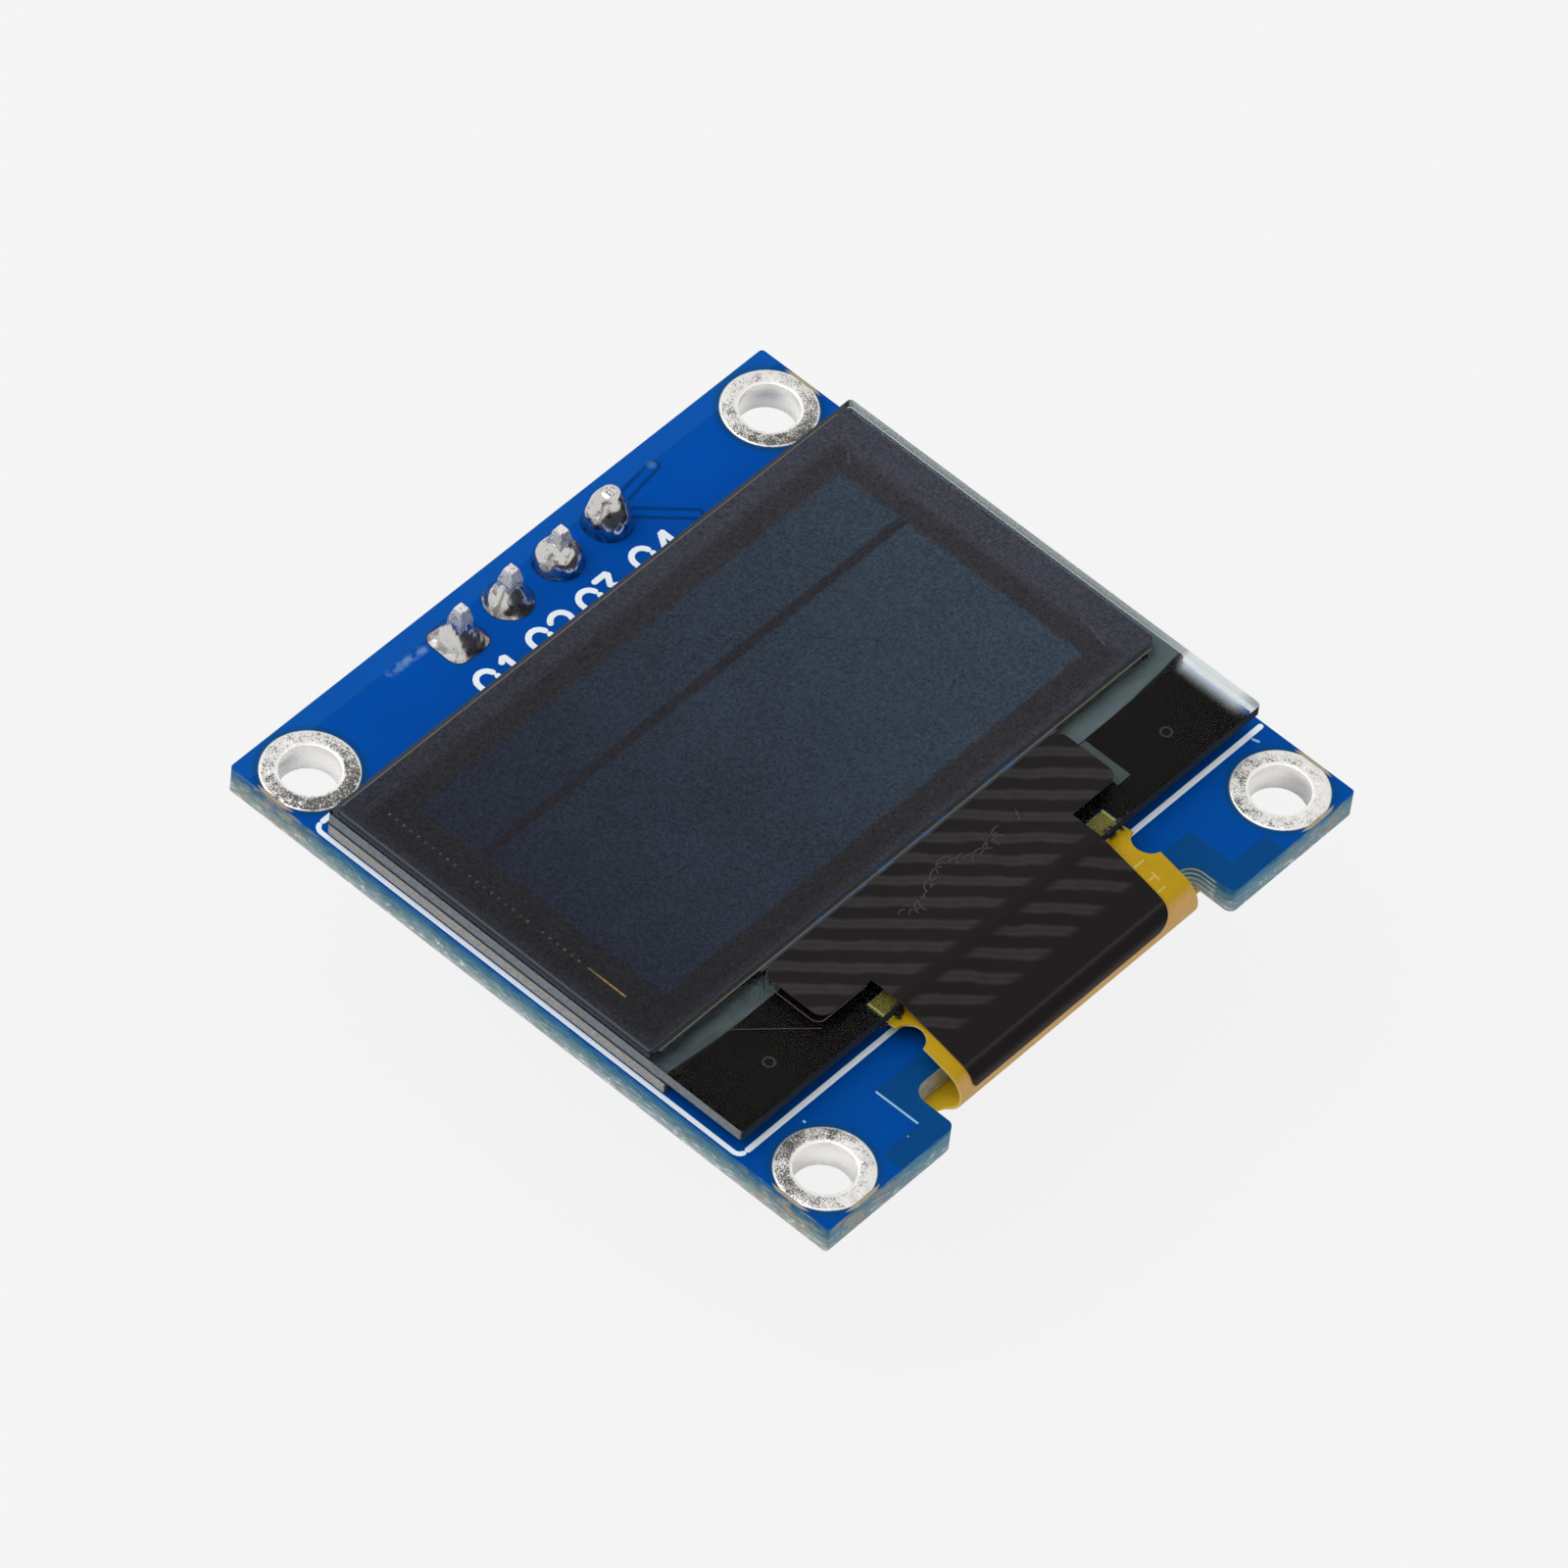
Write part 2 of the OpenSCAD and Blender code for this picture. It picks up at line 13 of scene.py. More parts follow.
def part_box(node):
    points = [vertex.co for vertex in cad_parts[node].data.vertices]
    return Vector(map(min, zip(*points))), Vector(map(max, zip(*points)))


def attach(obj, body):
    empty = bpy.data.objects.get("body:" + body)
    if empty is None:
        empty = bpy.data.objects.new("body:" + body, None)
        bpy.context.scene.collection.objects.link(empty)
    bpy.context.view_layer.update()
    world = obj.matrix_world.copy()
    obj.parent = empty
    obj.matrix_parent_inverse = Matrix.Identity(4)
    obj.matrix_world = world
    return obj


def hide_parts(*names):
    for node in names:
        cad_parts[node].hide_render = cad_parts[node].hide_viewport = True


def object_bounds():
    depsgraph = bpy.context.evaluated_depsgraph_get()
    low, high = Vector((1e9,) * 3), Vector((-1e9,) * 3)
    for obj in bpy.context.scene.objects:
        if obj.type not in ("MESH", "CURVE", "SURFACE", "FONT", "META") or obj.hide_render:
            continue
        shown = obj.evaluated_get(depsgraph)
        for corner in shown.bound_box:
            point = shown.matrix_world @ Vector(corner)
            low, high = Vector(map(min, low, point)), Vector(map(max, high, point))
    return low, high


bl_info = {
    "name": "Small OLED module",
    "version": (1, 0, 0),
    "blender": (4, 5, 0),
    "location": "View3D > Sidebar > OLED module",
    "description": "Finishes and fine pieces for a small OLED display module",
    "category": "Object",
}

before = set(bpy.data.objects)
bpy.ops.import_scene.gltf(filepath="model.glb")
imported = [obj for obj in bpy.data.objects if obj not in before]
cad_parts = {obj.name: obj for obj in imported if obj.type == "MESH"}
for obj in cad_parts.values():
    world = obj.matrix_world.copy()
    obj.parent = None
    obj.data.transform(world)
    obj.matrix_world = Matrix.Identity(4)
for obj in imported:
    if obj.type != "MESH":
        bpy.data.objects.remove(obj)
CAD_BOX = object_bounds()
MM = 0.001


def srgb(code):
    """Linear colour of a hex code, by the usual display curve, so that swatches are written as they look."""
    shares = [int(code[i : i + 2], 16) / 255 for i in (0, 2, 4)]
    return tuple(v / 12.92 if v <= 0.04045 else ((v + 0.055) / 1.055) ** 2.4 for v in shares)


def box_mm(node):
    """Lowest and highest corner of a CAD node in millimetres, as two numpy arrays."""
    low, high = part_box(node)
    return np.array(low) / MM, np.array(high) / MM


def middle(node):
    """Middle of a node's box in millimetres."""
    low, high = box_mm(node)
    return (low + high) / 2


BOARD_LOW, BOARD_HIGH = box_mm("circuit_board")
GLASS_LOW, GLASS_HIGH = box_mm("front_glass")
CAP_LOW, CAP_HIGH = box_mm("cap_glass")
POL_LOW, POL_HIGH = box_mm("polarizer")
FILM_LOW, FILM_HIGH = box_mm("cover_film")
PINS = {i: middle(f"header_pin_{i}") for i in (1, 2, 3, 4)}
# the rings are cut at the board's edges, so the middles of the holes come from the bores
HOLES = {1: (-11.75, 11.95), 2: (11.75, 11.95), 3: (11.75, -11.95), 4: (-11.75, -11.95)}
HOLE_X, HOLE_Y = HOLES[2]
BACK = BOARD_LOW[2]
# a thin layer's reach into the face it lies on, and the step between layers that cross
LAYER = 0.004


# ---- sizes and colours ----


def swatch(name, code, text):
    """A colour property with its default written as a hex code."""
    return FloatVectorProperty(
        name=name, description=text, subtype="COLOR", size=3, min=0, max=1, default=srgb(code)
    )


def length(name, millimetres, text):
    """A length property with its default written in millimetres."""
    kind = dict(subtype="DISTANCE", unit="LENGTH", precision=5)
    return FloatProperty(name=name, description=text, default=millimetres * MM, **kind)


def share(name, value, text):
    """A plain number between 0 and 1."""
    return FloatProperty(name=name, description=text, subtype="FACTOR", min=0, max=1, default=value)


class OLED_PG_board(bpy.types.PropertyGroup):
    # painted light: the mask goes from this colour near the flex to the lighter one below near the last pin
    mask: swatch("Mask, flex side", "004799", "Blue solder mask over copper, near the flex")
    mask_far_painted_light: swatch("Mask, header side", "004ba6", "Blue solder mask over copper, near the last pin")
    mask_bare: swatch("Mask over laminate", "07447e", "Blue solder mask where there is no copper")
    laminate: swatch("Laminate", "a49a82", "Bare laminate where a ring's opening meets the edge")
    silk: swatch("Print", "f1f8ff", "White print on the mask")
    line_width: length("Line width", 0.22, "Width of the printed frame's line")
    print_height: length("Print height", 0.02, "Thickness of the print")
    trace_width: length("Trace width", 0.2, "Width of the copper traces on the back")
    figure_height: length("Figure height", 1.5, "Height of the printed numbers")


class OLED_PG_metal(bpy.types.PropertyGroup):
    tin: swatch("Tin", "e9e7e3", "Bright tin on rings, barrels and pins")
    tin_dark: swatch("Tin, pitted", "5c5a57", "Dark pits and oxide in the tin")
    solder: swatch("Solder", "d2d0cd", "Solder joints")
    # painted reflection: this dark colour stands partly for flux and oxide and partly for dark surroundings seen in
    # solder
    tarnish_and_reflection: swatch("Tarnish", "4a4239", "Dark flux and oxide on the solder")
    dome: length("Tin dome", 0.06, "Height of the tin on a ring above the board")
    roughness: share("Roughness", 0.3, "Roughness of bright tin")


class OLED_PG_panel(bpy.types.PropertyGroup):
    # painted glare: the lit area goes from this colour at -X to the lighter one below at +X
    lit_left: swatch("Lit area, left", "242936", "Lit area under the polarizer, at -X")
    lit_right_glare: swatch("Lit area, right", "36424f", "Lit area under the polarizer, at +X")
    border: swatch("Border", "34353e", "Border round the lit area")
    border_inner: swatch("Inner border", "2b2a2e", "Border next to the lit area")
    glass: swatch("Glass", "eef3f1", "Clear glass")
    glass_edge: swatch("Glass edge", "767b80", "Cut edges of the glass")
    coat: swatch("Coat", "0b0706", "Black coat under the ledge")
    bevel: length("Bevel", 0.03, "Bevel along the edges of the glasses")
    dot_pitch: length("Dot pitch", 0.34, "Pitch of the dots beside the lit area")


class OLED_PG_flex(bpy.types.PropertyGroup):
    amber: swatch("Flex", "ba9616", "Amber polyimide over copper")
    amber_deep: swatch("Flex, deep", "a68410", "Amber polyimide between the traces")
    # painted light: the tail's inner side is painted this bright yellow for the light that reaches it
    inside: swatch("Flex, inside", "ffd832", "Inner side of the folded tail")
    under_glass: swatch("Flex under glass", "5f5727", "Bonded flex seen through the glass")
    film: swatch("Film", "1e1a1b", "Black cover film")
    stripe: swatch("Film stripe", "343133", "Pressed stripes in the film")
    resin: swatch("Resin", "1e1710", "Dark resin beside the flex")
    stripe_pitch: length("Stripe pitch", 1.35, "Pitch of the film's stripes across the flex")


class OLED_PG_back(bpy.types.PropertyGroup):
    package: swatch("Package", "1b1b1e", "Moulded black packages")
    resistor: swatch("Resistor", "17171b", "Coated top of the resistors")
    ceramic: swatch("Capacitor", "a5825b", "Ceramic of the capacitors")
    strip: swatch("Strip", "121213", "Header's plastic strip")
    end_width: length("End width", 0.3, "Length of a chip's tinned ends")
    via: length("Via", 0.32, "Radius of the small through holes' rings")


class OLED_PG_stage(bpy.types.PropertyGroup):
    backdrop: swatch("Backdrop", "f5f5f5", "Floor and background")
    sky: share("Sky", 0.62, "Strength of the even light from all round")
    key: FloatProperty(name="Key", description="Strength of the soft key light", default=1.45, min=0)
    key_angle: FloatProperty(
        name="Key width",
        description="Angle that the key light covers",
        subtype="ANGLE",
        default=math.radians(60),
    )


# ---- meshes from numpy ----


def quads(rows, columns, wrap_rows=False, wrap_columns=False):
    """Corner numbers of the quads on a grid of rows x columns points, closed round either way."""
    r = np.arange(rows if wrap_rows else rows - 1)
    c = np.arange(columns if wrap_columns else columns - 1)
    r, c = (a.ravel() for a in np.meshgrid(r, c, indexing="ij"))
    r1, c1 = (r + 1) % rows, (c + 1) % columns
    return np.stack([r * columns + c, r * columns + c1, r1 * columns + c1, r1 * columns + c], 1)


def piece(name, points, faces, material, slot, smooth=False, replaces=()):
    """Puts points in millimetres and their faces into one mesh object, merges its poles, turns its faces outward
    and lets it ride on the body."""
    mesh = bpy.data.meshes.new(name)
    faces = faces.tolist() if hasattr(faces, "tolist") else faces
    mesh.from_pydata((np.asarray(points, float).reshape(-1, 3) * MM).tolist(), [], faces)
    work = bmesh.new()
    work.from_mesh(mesh)
    bmesh.ops.remove_doubles(work, verts=work.verts, dist=1e-7)
    bmesh.ops.dissolve_degenerate(work, edges=work.edges, dist=1e-8)
    bmesh.ops.recalc_face_normals(work, faces=work.faces)
    work.to_mesh(mesh)
    work.free()
    mesh.polygons.foreach_set("use_smooth", np.full(len(mesh.polygons), smooth))
    mesh.materials.append(material)
    made = bpy.data.objects.new(name, mesh)
    bpy.context.scene.collection.objects.link(made)
    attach(made, "root")
    if replaces:
        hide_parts(*replaces)
    return made


def gather(parts):
    """Joins (points, faces) pairs into one pair, each part's face numbers moved past the points before it."""
    points, faces, start = [], [], 0
    for p, f in parts:
        p = np.asarray(p, float).reshape(-1, 3)
        points.append(p)
        faces.append(np.asarray(f) + start)
        start += len(p)
    return np.concatenate(points), np.concatenate(faces)


def joined(name, parts, material, slot, smooth=False):
    """Joins (points, faces) pairs into one piece."""
    return piece(name, *gather(parts), material, slot, smooth)


def ribbon(path, width, low, high):
    """A flat bar along a path in millimetres: each point is moved sideways by the half width, which follows a half
    circle at both ends, and the section is a four-cornered loop from low to high."""
    path = np.asarray(path, float)
    radius = width / 2
    step = np.linalg.norm(np.diff(path, axis=0), axis=1)
    along = np.concatenate([[0], np.cumsum(step)])
    cap = radius * (1 - np.cos(np.linspace(0, np.pi / 2, 6)))
    at = np.unique(np.concatenate([cap, along, along[-1] - cap]))
    path = np.stack([np.interp(at, along, path[:, k]) for k in (0, 1)], 1)
    near_end = np.minimum(at, at[-1] - at)
    half = np.sqrt(np.maximum(radius**2 - np.maximum(radius - near_end, 0) ** 2, 0))
    tangent = np.vstack([path[1:], path[-1:]]) - np.vstack([path[:1], path[:-1]])
    tangent /= np.maximum(np.linalg.norm(tangent, axis=1, keepdims=True), 1e-9)
    side = np.stack([-tangent[:, 1], tangent[:, 0]], 1)
    loop = [(-1, low), (-1, high), (1, high), (1, low)]
    points = [np.column_stack([path + side * (s * half)[:, None], np.full(len(path), z)]) for s, z in loop]
    return np.stack(points, 1), quads(len(path), len(loop), wrap_columns=True)


def arc(centre, radius, start, end, count=7):
    """Points on a flat arc, with angles in degrees from +X."""
    a = np.radians(np.linspace(start, end, count))
    return [(centre[0] + radius * math.cos(t), centre[1] + radius * math.sin(t)) for t in a]


def closer(points, step=0.12):
    """Adds points along a polyline, so that a bar's corners are cut short rather than pinched."""
    out = [points[0]]
    for a, b in zip(points[:-1], points[1:]):
        n = max(2, int(math.dist(a, b) / step))
        out += [(a[0] + (b[0] - a[0]) * k / n, a[1] + (b[1] - a[1]) * k / n) for k in range(1, n + 1)]
    return out


def ripple(rng, count, lowest, highest):
    """A smooth uneven field over x and y: a mean of sine waves with drawn directions and phases."""
    turn = rng.uniform(0, 2 * np.pi, count)
    pitch = rng.uniform(lowest, highest, count)
    phase = rng.uniform(0, 2 * np.pi, count)

    def field(x, y):
        along = x[..., None] * np.cos(turn) + y[..., None] * np.sin(turn)
        return np.sin(2 * np.pi * along / pitch + phase).mean(-1) * math.sqrt(count) * 0.7

    return field


def rounded_loop(x0, x1, y0, y1, radius, z, inset=0.0, corner=6):
    """One level loop of a rectangle with rounded corners: quarter circles about the corner centres, whose radius is
    the corner's less the inset."""
    left, right, low, high = x0 + radius, x1 - radius, y0 + radius, y1 - radius
    middles = [(right, high), (left, high), (left, low), (right, low)]
    flat = [p for k, at in enumerate(middles) for p in arc(at, radius - inset, 90 * k, 90 * k + 90, corner)]
    return np.column_stack([np.array(flat), np.full(len(flat), z)])


def stacked(loops):
    """A closed body from loops of equal count: each is joined to the next, and the first and the last are closed
    with one flat face."""
    count, last = len(loops[0]), (len(loops) - 1) * len(loops[0])
    faces = quads(len(loops), count, wrap_columns=True).tolist()
    return np.concatenate(loops), faces + [list(range(count)), list(range(last, last + count))]


def lathe(x, y, profile, around=24):
    """A body turned about an upright axis: the profile's radii and heights are carried round by the angle."""
    profile = np.asarray(profile, float)
    angle = np.linspace(0, 2 * np.pi, around, endpoint=False)[:, None]
    radius, z = profile[:, 0][None, :], profile[:, 1][None, :]
    points = np.stack([x + radius * np.cos(angle), y + radius * np.sin(angle), z + 0 * angle], -1)
    return points, quads(around, len(profile), wrap_rows=True)


# ---- material nodes ----


class Nodes:
    """A node tree that starts empty. Sockets and numbers are passed from call to call."""

    def __init__(self, owner):
        owner.use_nodes = True
        self.tree = owner.node_tree
        self.tree.nodes.clear()

    def node(self, kind, *values, **settings):
        """A new node with its settings, whose first sockets take the values."""
        made = self.tree.nodes.new(kind)
        for key, value in settings.items():
            setattr(made, key, value)
        for socket, value in zip(made.inputs, values):
            self.put(socket, value)
        return made

    def put(self, socket, value):
        """Links a socket, or writes on it a number, a vector, or a colour as its three values or hex code."""
        if isinstance(value, bpy.types.NodeSocket):
            self.tree.links.new(value, socket)
        elif value is not None:
            value = srgb(value) if isinstance(value, str) else value
            socket.default_value = (*value, 1) if socket.type == "RGBA" else value

    def math(self, operation, *values):
        """One sum step after another: the first two values, then what came of them and the next."""
        total = values[0]
        for value in values[1:] or (None,):
            total = self.node("ShaderNodeMath", total, value, operation=operation).outputs[0]
        return total

    def add(self, *values):
        return self.math("ADD", *values)

    def times(self, *values):
        return self.math("MULTIPLY", *values)

    def most(self, *values):
        return self.math("MAXIMUM", *values)

    def less(self, a, b):
        return self.math("SUBTRACT", a, b)

    def size(self, value):
        return self.math("ABSOLUTE", value)

    def reach(self, a, b):
        """The length of two parts at right angles: the root of the sum of their squares."""
        return self.math("SQRT", self.add(self.times(a, a), self.times(b, b)))

    def ray(self, kind):
        """1 for one kind of ray and 0 for the others."""
        return self.node("ShaderNodeLightPath").outputs[f"Is {kind} Ray"]


class Shade(Nodes):
    """One material's nodes, with places in millimetres."""

    def __init__(self, name):
        self.material = bpy.data.materials.new(name)
        super().__init__(self.material)
        self.output = self.node("ShaderNodeOutputMaterial")
        self.at = self.scaled(self.node("ShaderNodeTexCoord").outputs["Object"], (1 / MM,) * 3)
        self.x, self.y, self.z = self.parts(self.at)

    def scaled(self, place, scales):
        """A place with each of its three parts scaled."""
        return self.node("ShaderNodeVectorMath", place, scales, operation="MULTIPLY").outputs[0]

    def parts(self, vector):
        """A vector's three parts."""
        return self.node("ShaderNodeSeparateXYZ", vector).outputs

    def span(self, value, low, high, to_low=0.0, to_high=1.0, smooth=True):
        """Maps low..high to to_low..to_high, held beyond both ends."""
        kind = "SMOOTHSTEP" if smooth else "LINEAR"
        values = (value, low, high, to_low, to_high)
        return self.node("ShaderNodeMapRange", *values, interpolation_type=kind, clamp=True).outputs[0]

    def band(self, value, low, high, soft=0.04):
        """1 where a value lies between low and high."""
        return self.times(self.span(value, low - soft, low + soft), self.span(value, high + soft, high - soft))

    def box(self, x0, x1, y0, y1, soft=0.04):
        """1 inside a rectangle and 0 outside it."""
        return self.times(self.band(self.x, x0, x1, soft), self.band(self.y, y0, y1, soft))

    def away(self, x, y):
        """Distance from an upright axis."""
        return self.reach(self.less(self.x, x), self.less(self.y, y))

    def segment(self, a, b):
        """Distance from a straight line between two points, by the parts along it and across it."""
        length_ab = math.dist(a, b)
        tx, ty = (b[0] - a[0]) / length_ab, (b[1] - a[1]) / length_ab
        dx, dy = self.less(self.x, (a[0] + b[0]) / 2), self.less(self.y, (a[1] + b[1]) / 2)
        along = self.size(self.add(self.times(dx, tx), self.times(dy, ty)))
        past = self.most(self.less(along, length_ab / 2), 0.0)
        across = self.less(self.times(dx, -ty), self.times(dy, -tx))
        return self.reach(past, across)

    def noise(self, size, detail=3, rough=0.6, stretch=None, seed=0.0, distort=0.0):
        """Even noise whose grain is about size millimetres; stretch scales its three axes."""
        at = self.at if stretch is None else self.scaled(self.at, stretch)
        made = self.node("ShaderNodeTexNoise", noise_dimensions="4D")
        values = dict(Vector=at, W=seed, Scale=1 / size, Detail=detail, Roughness=rough, Distortion=distort)
        for key, value in values.items():
            self.put(made.inputs[key], value)
        return made.outputs[0]

    def mix(self, share, a, b, kind="MIX"):
        """Colour a where share is 0 and b where it is 1."""
        made = self.node("ShaderNodeMix", data_type="RGBA", blend_type=kind)
        for number, value in ((0, share), (6, a), (7, b)):
            self.put(made.inputs[number], value)
        return made.outputs[2]

    def lay(self, under, over, *shares):
        """Lays a colour over another where the product of the shares is 1."""
        return self.mix(self.times(*shares), under, over)

    def ramp(self, value, *stops):
        """Colour by a number from 0 to 1, between stops of a number and a hex code."""
        made = self.node("ShaderNodeValToRGB", value)
        line = made.color_ramp.elements
        for spot, (at, code) in ((line[0], stops[0]), (line[-1], stops[-1])):
            spot.position, spot.color = at, (*srgb(code), 1)
        for at, code in stops[1:-1]:
            line.new(at).color = (*srgb(code), 1)
        return made.outputs[0]

    def tint(self, colour, share):
        """A colour made lighter or darker by a number round 1."""
        grey = self.node("ShaderNodeCombineColor", share, share, share).outputs[0]
        return self.mix(1.0, colour, grey, "MULTIPLY")

    def facing(self, axis):
        """How far a face turns to an axis of the object, from -1 to 1."""
        return self.parts(self.node("ShaderNodeNewGeometry").outputs["True Normal"])[axis]

    def relief(self, height, depth, strength=1.0):
        """A bump normal from a height of 0..1 that stands for depth millimetres."""
        made = self.node("ShaderNodeBump")
        for key, value in (("Strength", strength), ("Distance", depth * MM), ("Height", height)):
            self.put(made.inputs[key], value)
        return made.outputs[0]

    def surface(self, colour, roughness, normal=None, shine=0.5, **extra):
        """The Principled shader: shine is its specular level, and extra holds more sockets by name."""
        made = self.node("ShaderNodeBsdfPrincipled")
        values = {"Base Color": colour, "Roughness": roughness, "Normal": normal, "Specular IOR Level": shine}
        for key, value in {**values, **extra}.items():
            self.put(made.inputs[key.replace("_", " ")], value)
        self.put(self.output.inputs[0], made.outputs[0])
        return self.material

    def over(self, share, shader):
        """Shows another shader in place of the surface made so far, where share is 1."""
        below = self.output.inputs[0].links[0].from_socket
        mixed = self.node("ShaderNodeMixShader", share, below, shader)
        self.put(self.output.inputs[0], mixed.outputs[0])
        return self.material


def dress(material, *nodes):
    """Gives CAD nodes a material in place of their plain one."""
    for name in nodes:
        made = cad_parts[name]
        if not made.material_slots:
            made.data.materials.append(material)
        for place in made.material_slots:
            place.material = material


def plain(name, colour, roughness, spread=0.3, **extra):
    """A finish with grain in its colour, roughness and relief; spread is how far the grain moves the colour."""
    s = Shade(name)
    fine, cloud = s.noise(0.12), s.noise(1.08, 2, 0.5, seed=8.0)
    tinted = s.tint(colour, s.add(0.9 - spread / 2, s.times(fine, spread), s.times(cloud, 0.2)))
    return s.surface(tinted, s.add(roughness - 0.06, s.times(fine, 0.12)), s.relief(fine, 0.01), **extra)


# ---- board ----

BOARD_T = BOARD_HIGH[2] - BOARD_LOW[2]


def mask_tone(s, p, bare=None):
    """The mask's colour: lighter toward the last pin as painted light, darker where bare is 1, with a fine and a
    cloudy grain.
    """
    # painted light: the mask is painted lighter toward +Y, the last pin's side
    toward = s.add(s.times(s.x, 0.008), s.times(s.y, 0.04), 0.5)
    tone = s.mix(s.span(toward, 0.0, 1.0, smooth=False), p.mask, p.mask_far_painted_light)
    if bare is not None:
        tone = s.mix(bare, tone, p.mask_bare)
    grain = s.noise(0.12)
    cloud = s.noise(2.6, 2, 0.5, seed=3.0)
    return s.tint(tone, s.add(0.8, s.times(grain, 0.2), s.times(cloud, 0.2))), grain


def cut_edge(s):
    """The laminate's cut edge: the mask's blue at the top, teal under it and pale grey near the back, in layers
    along the board with white flecks, and brown beside the holes near the corners. Faces toward X are painted
    lighter than faces toward Y as painted light and shade, and the notch's wall is painted a light beige, partly
    the laminate's colour and partly painted light."""
    streak = s.noise(0.7, 4, 0.7, stretch=(1.0, 1.0, 8.0), seed=1.0)
    fleck = s.noise(0.24, 3, 0.75, stretch=(0.6, 0.6, 1.8), seed=7.0)
    depth = s.add(s.times(s.z, -1 / BOARD_T), s.times(s.less(streak, 0.5), 0.55))
    # painted light and shade: faces toward X take these lighter tones, faces toward Y the darker tones below
    lit_side_tones = (0.0, "1f5890"), (0.16, "33678e"), (0.42, "5a7e8c"), (0.7, "82969b"), (1.0, "b0b7b6")
    sides = s.ramp(depth, *lit_side_tones)
    ends = s.ramp(depth, (0.0, "2a639a"), (0.2, "5586a0"), (0.55, "7795a2"), (1.0, "83a0ac"))
    colour = s.mix(s.span(s.size(s.facing(0)), 0.3, 0.7), ends, sides)
    near = s.most(*(s.span(s.away(*HOLES[number]), 3.1, 1.9) for number in (1, 3, 4)))
    brown = s.times(near, s.span(s.noise(0.6, seed=11.0, stretch=(1, 1, 2)), 0.42, 0.62))
    colour = s.lay(colour, "ae9a7e", brown, 0.62)
    # painted light: the notch's wall is painted a light beige, partly the laminate's colour
    notch = s.times(s.band(s.x, -7.3, 0.0), s.band(s.y, -13.3, -11.7))
    colour = s.lay(colour, "b6b29f", notch, 0.85)
    bands = s.times(s.band(s.x, 6.3, 7.3), s.span(s.math("SINE", s.times(s.z, 26.0)), 0.1, 0.9))
    colour = s.lay(colour, "d8dcd8", bands, s.band(s.y, -13.0, -11.7), 0.7)
    white = s.span(fleck, 0.56, 0.68)
    colour = s.lay(colour, "e3e7e5", white, s.span(depth, 0.25, 0.8), 0.75)
    return s.tint(colour, s.add(-0.06, s.times(streak, 0.8), s.times(fleck, 1.3))), s.add(streak, fleck)


# where the mask has dark gaps beside a trace near the last pin
MASK_GAPS = (((4.75, 12.1), (6.35, 10.45)), ((4.9, 12.75), (6.85, 13.02)))


def board_material(p):
    """Blue mask on both faces, lighter toward the last pin as painted light, darker where no copper lies under it,
    dark in a ring round each opening that is partly bare mask and partly painted shade, dark gaps beside a trace,
    openings round the rings, and cut edges."""
    s = Shade("blue_mask_and_laminate")
    side = s.size(s.x)
    from_hole = s.reach(s.less(side, HOLE_X), s.less(s.size(s.y), HOLE_Y))
    front = s.span(s.z, -0.6, -0.5)
    tab = s.times(s.band(side, 5.5, 8.15, 0.03), s.band(s.y, -14.0, -10.95, 0.03))
    tab = s.most(tab, s.times(s.band(side, 5.5, 9.9, 0.03), s.span(s.y, -12.87, -12.93)))
    far_rim = s.span(s.y, 13.12, 13.18)
    gaps = s.most(*(s.band(s.segment(a, b), 0.13, 0.28, 0.03) for a, b in MASK_GAPS))
    groove = s.band(s.y, 13.08, 13.16, 0.02)
    # painted shade: a dark ring round each opening, in the bare mask's colour, partly painted shade at the mask's
    # step
    halo_shade = s.times(s.span(from_hole, 2.08, 1.92), 0.9)
    bare = s.times(s.most(tab, s.times(groove, 0.35)), front)
    mask, grain = mask_tone(s, p, s.most(bare, halo_shade))
    mask = s.lay(mask, "02336b", gaps, front, 0.75)
    mask = s.lay(mask, "3f93d0", far_rim, front, 0.07)
    smear = s.span(s.segment((-6.6, 13.0), (-5.0, 12.95)), 0.26, 0.05)
    smear = s.times(smear, s.span(s.noise(0.35, seed=9.0), 0.35, 0.65))
    smear = s.most(s.times(smear, 0.55), s.times(s.span(s.away(6.85, 13.1), 0.26, 0.05), 0.25))
    mask = s.lay(mask, "7fa8d4", smear, front)
    middle_y, half_y = (BOARD_HIGH[1] + BOARD_LOW[1]) / 2, (BOARD_HIGH[1] - BOARD_LOW[1]) / 2
    rim_y = s.less(half_y, s.size(s.less(s.y, middle_y)))
    rim = s.math("MINIMUM", s.less(BOARD_HIGH[0], side), rim_y)
    opening = s.times(s.span(from_hole, 1.95, 1.89), s.span(rim, 0.15, 0.11), s.span(s.y, 13.7, 13.5))
    beige = s.tint(p.laminate, s.add(0.6, s.times(s.noise(0.2, seed=5.0), 0.8)))
    face = s.mix(opening, mask, beige)
    cut, layers = cut_edge(s)
    upright = s.span(s.size(s.facing(2)), 0.3, 0.6)
    height = s.add(s.times(grain, 0.2), s.times(bare, -0.7), s.times(layers, s.less(1.0, upright), 0.9))
    rough = s.span(upright, 0, 1, 0.7, 0.32)
    return s.surface(s.mix(upright, cut, face), rough, s.relief(height, 0.03, 0.6), shine=0.025)


def trace_material(p):
    """The mask over a raised trace, a little lighter than over bare laminate."""
    s = Shade("masked_copper")
    tone, grain = mask_tone(s, p)
    return s.surface(s.tint(tone, 1.12), 0.34, s.relief(grain, 0.01), shine=0.08)


def print_material(p):
    """White print with a fine grain, worn to blue in small spots."""
    s = Shade("white_print")
    fleck = s.noise(0.09)
    worn = s.span(s.noise(0.3, seed=2.0), 0.70, 0.82)
    colour = s.mix(s.times(worn, 0.3), s.tint(p.silk, s.add(0.92, s.times(fleck, 0.16))), "8fb6e0")
    return s.surface(colour, 0.55, s.relief(fleck, 0.01), shine=0.1)


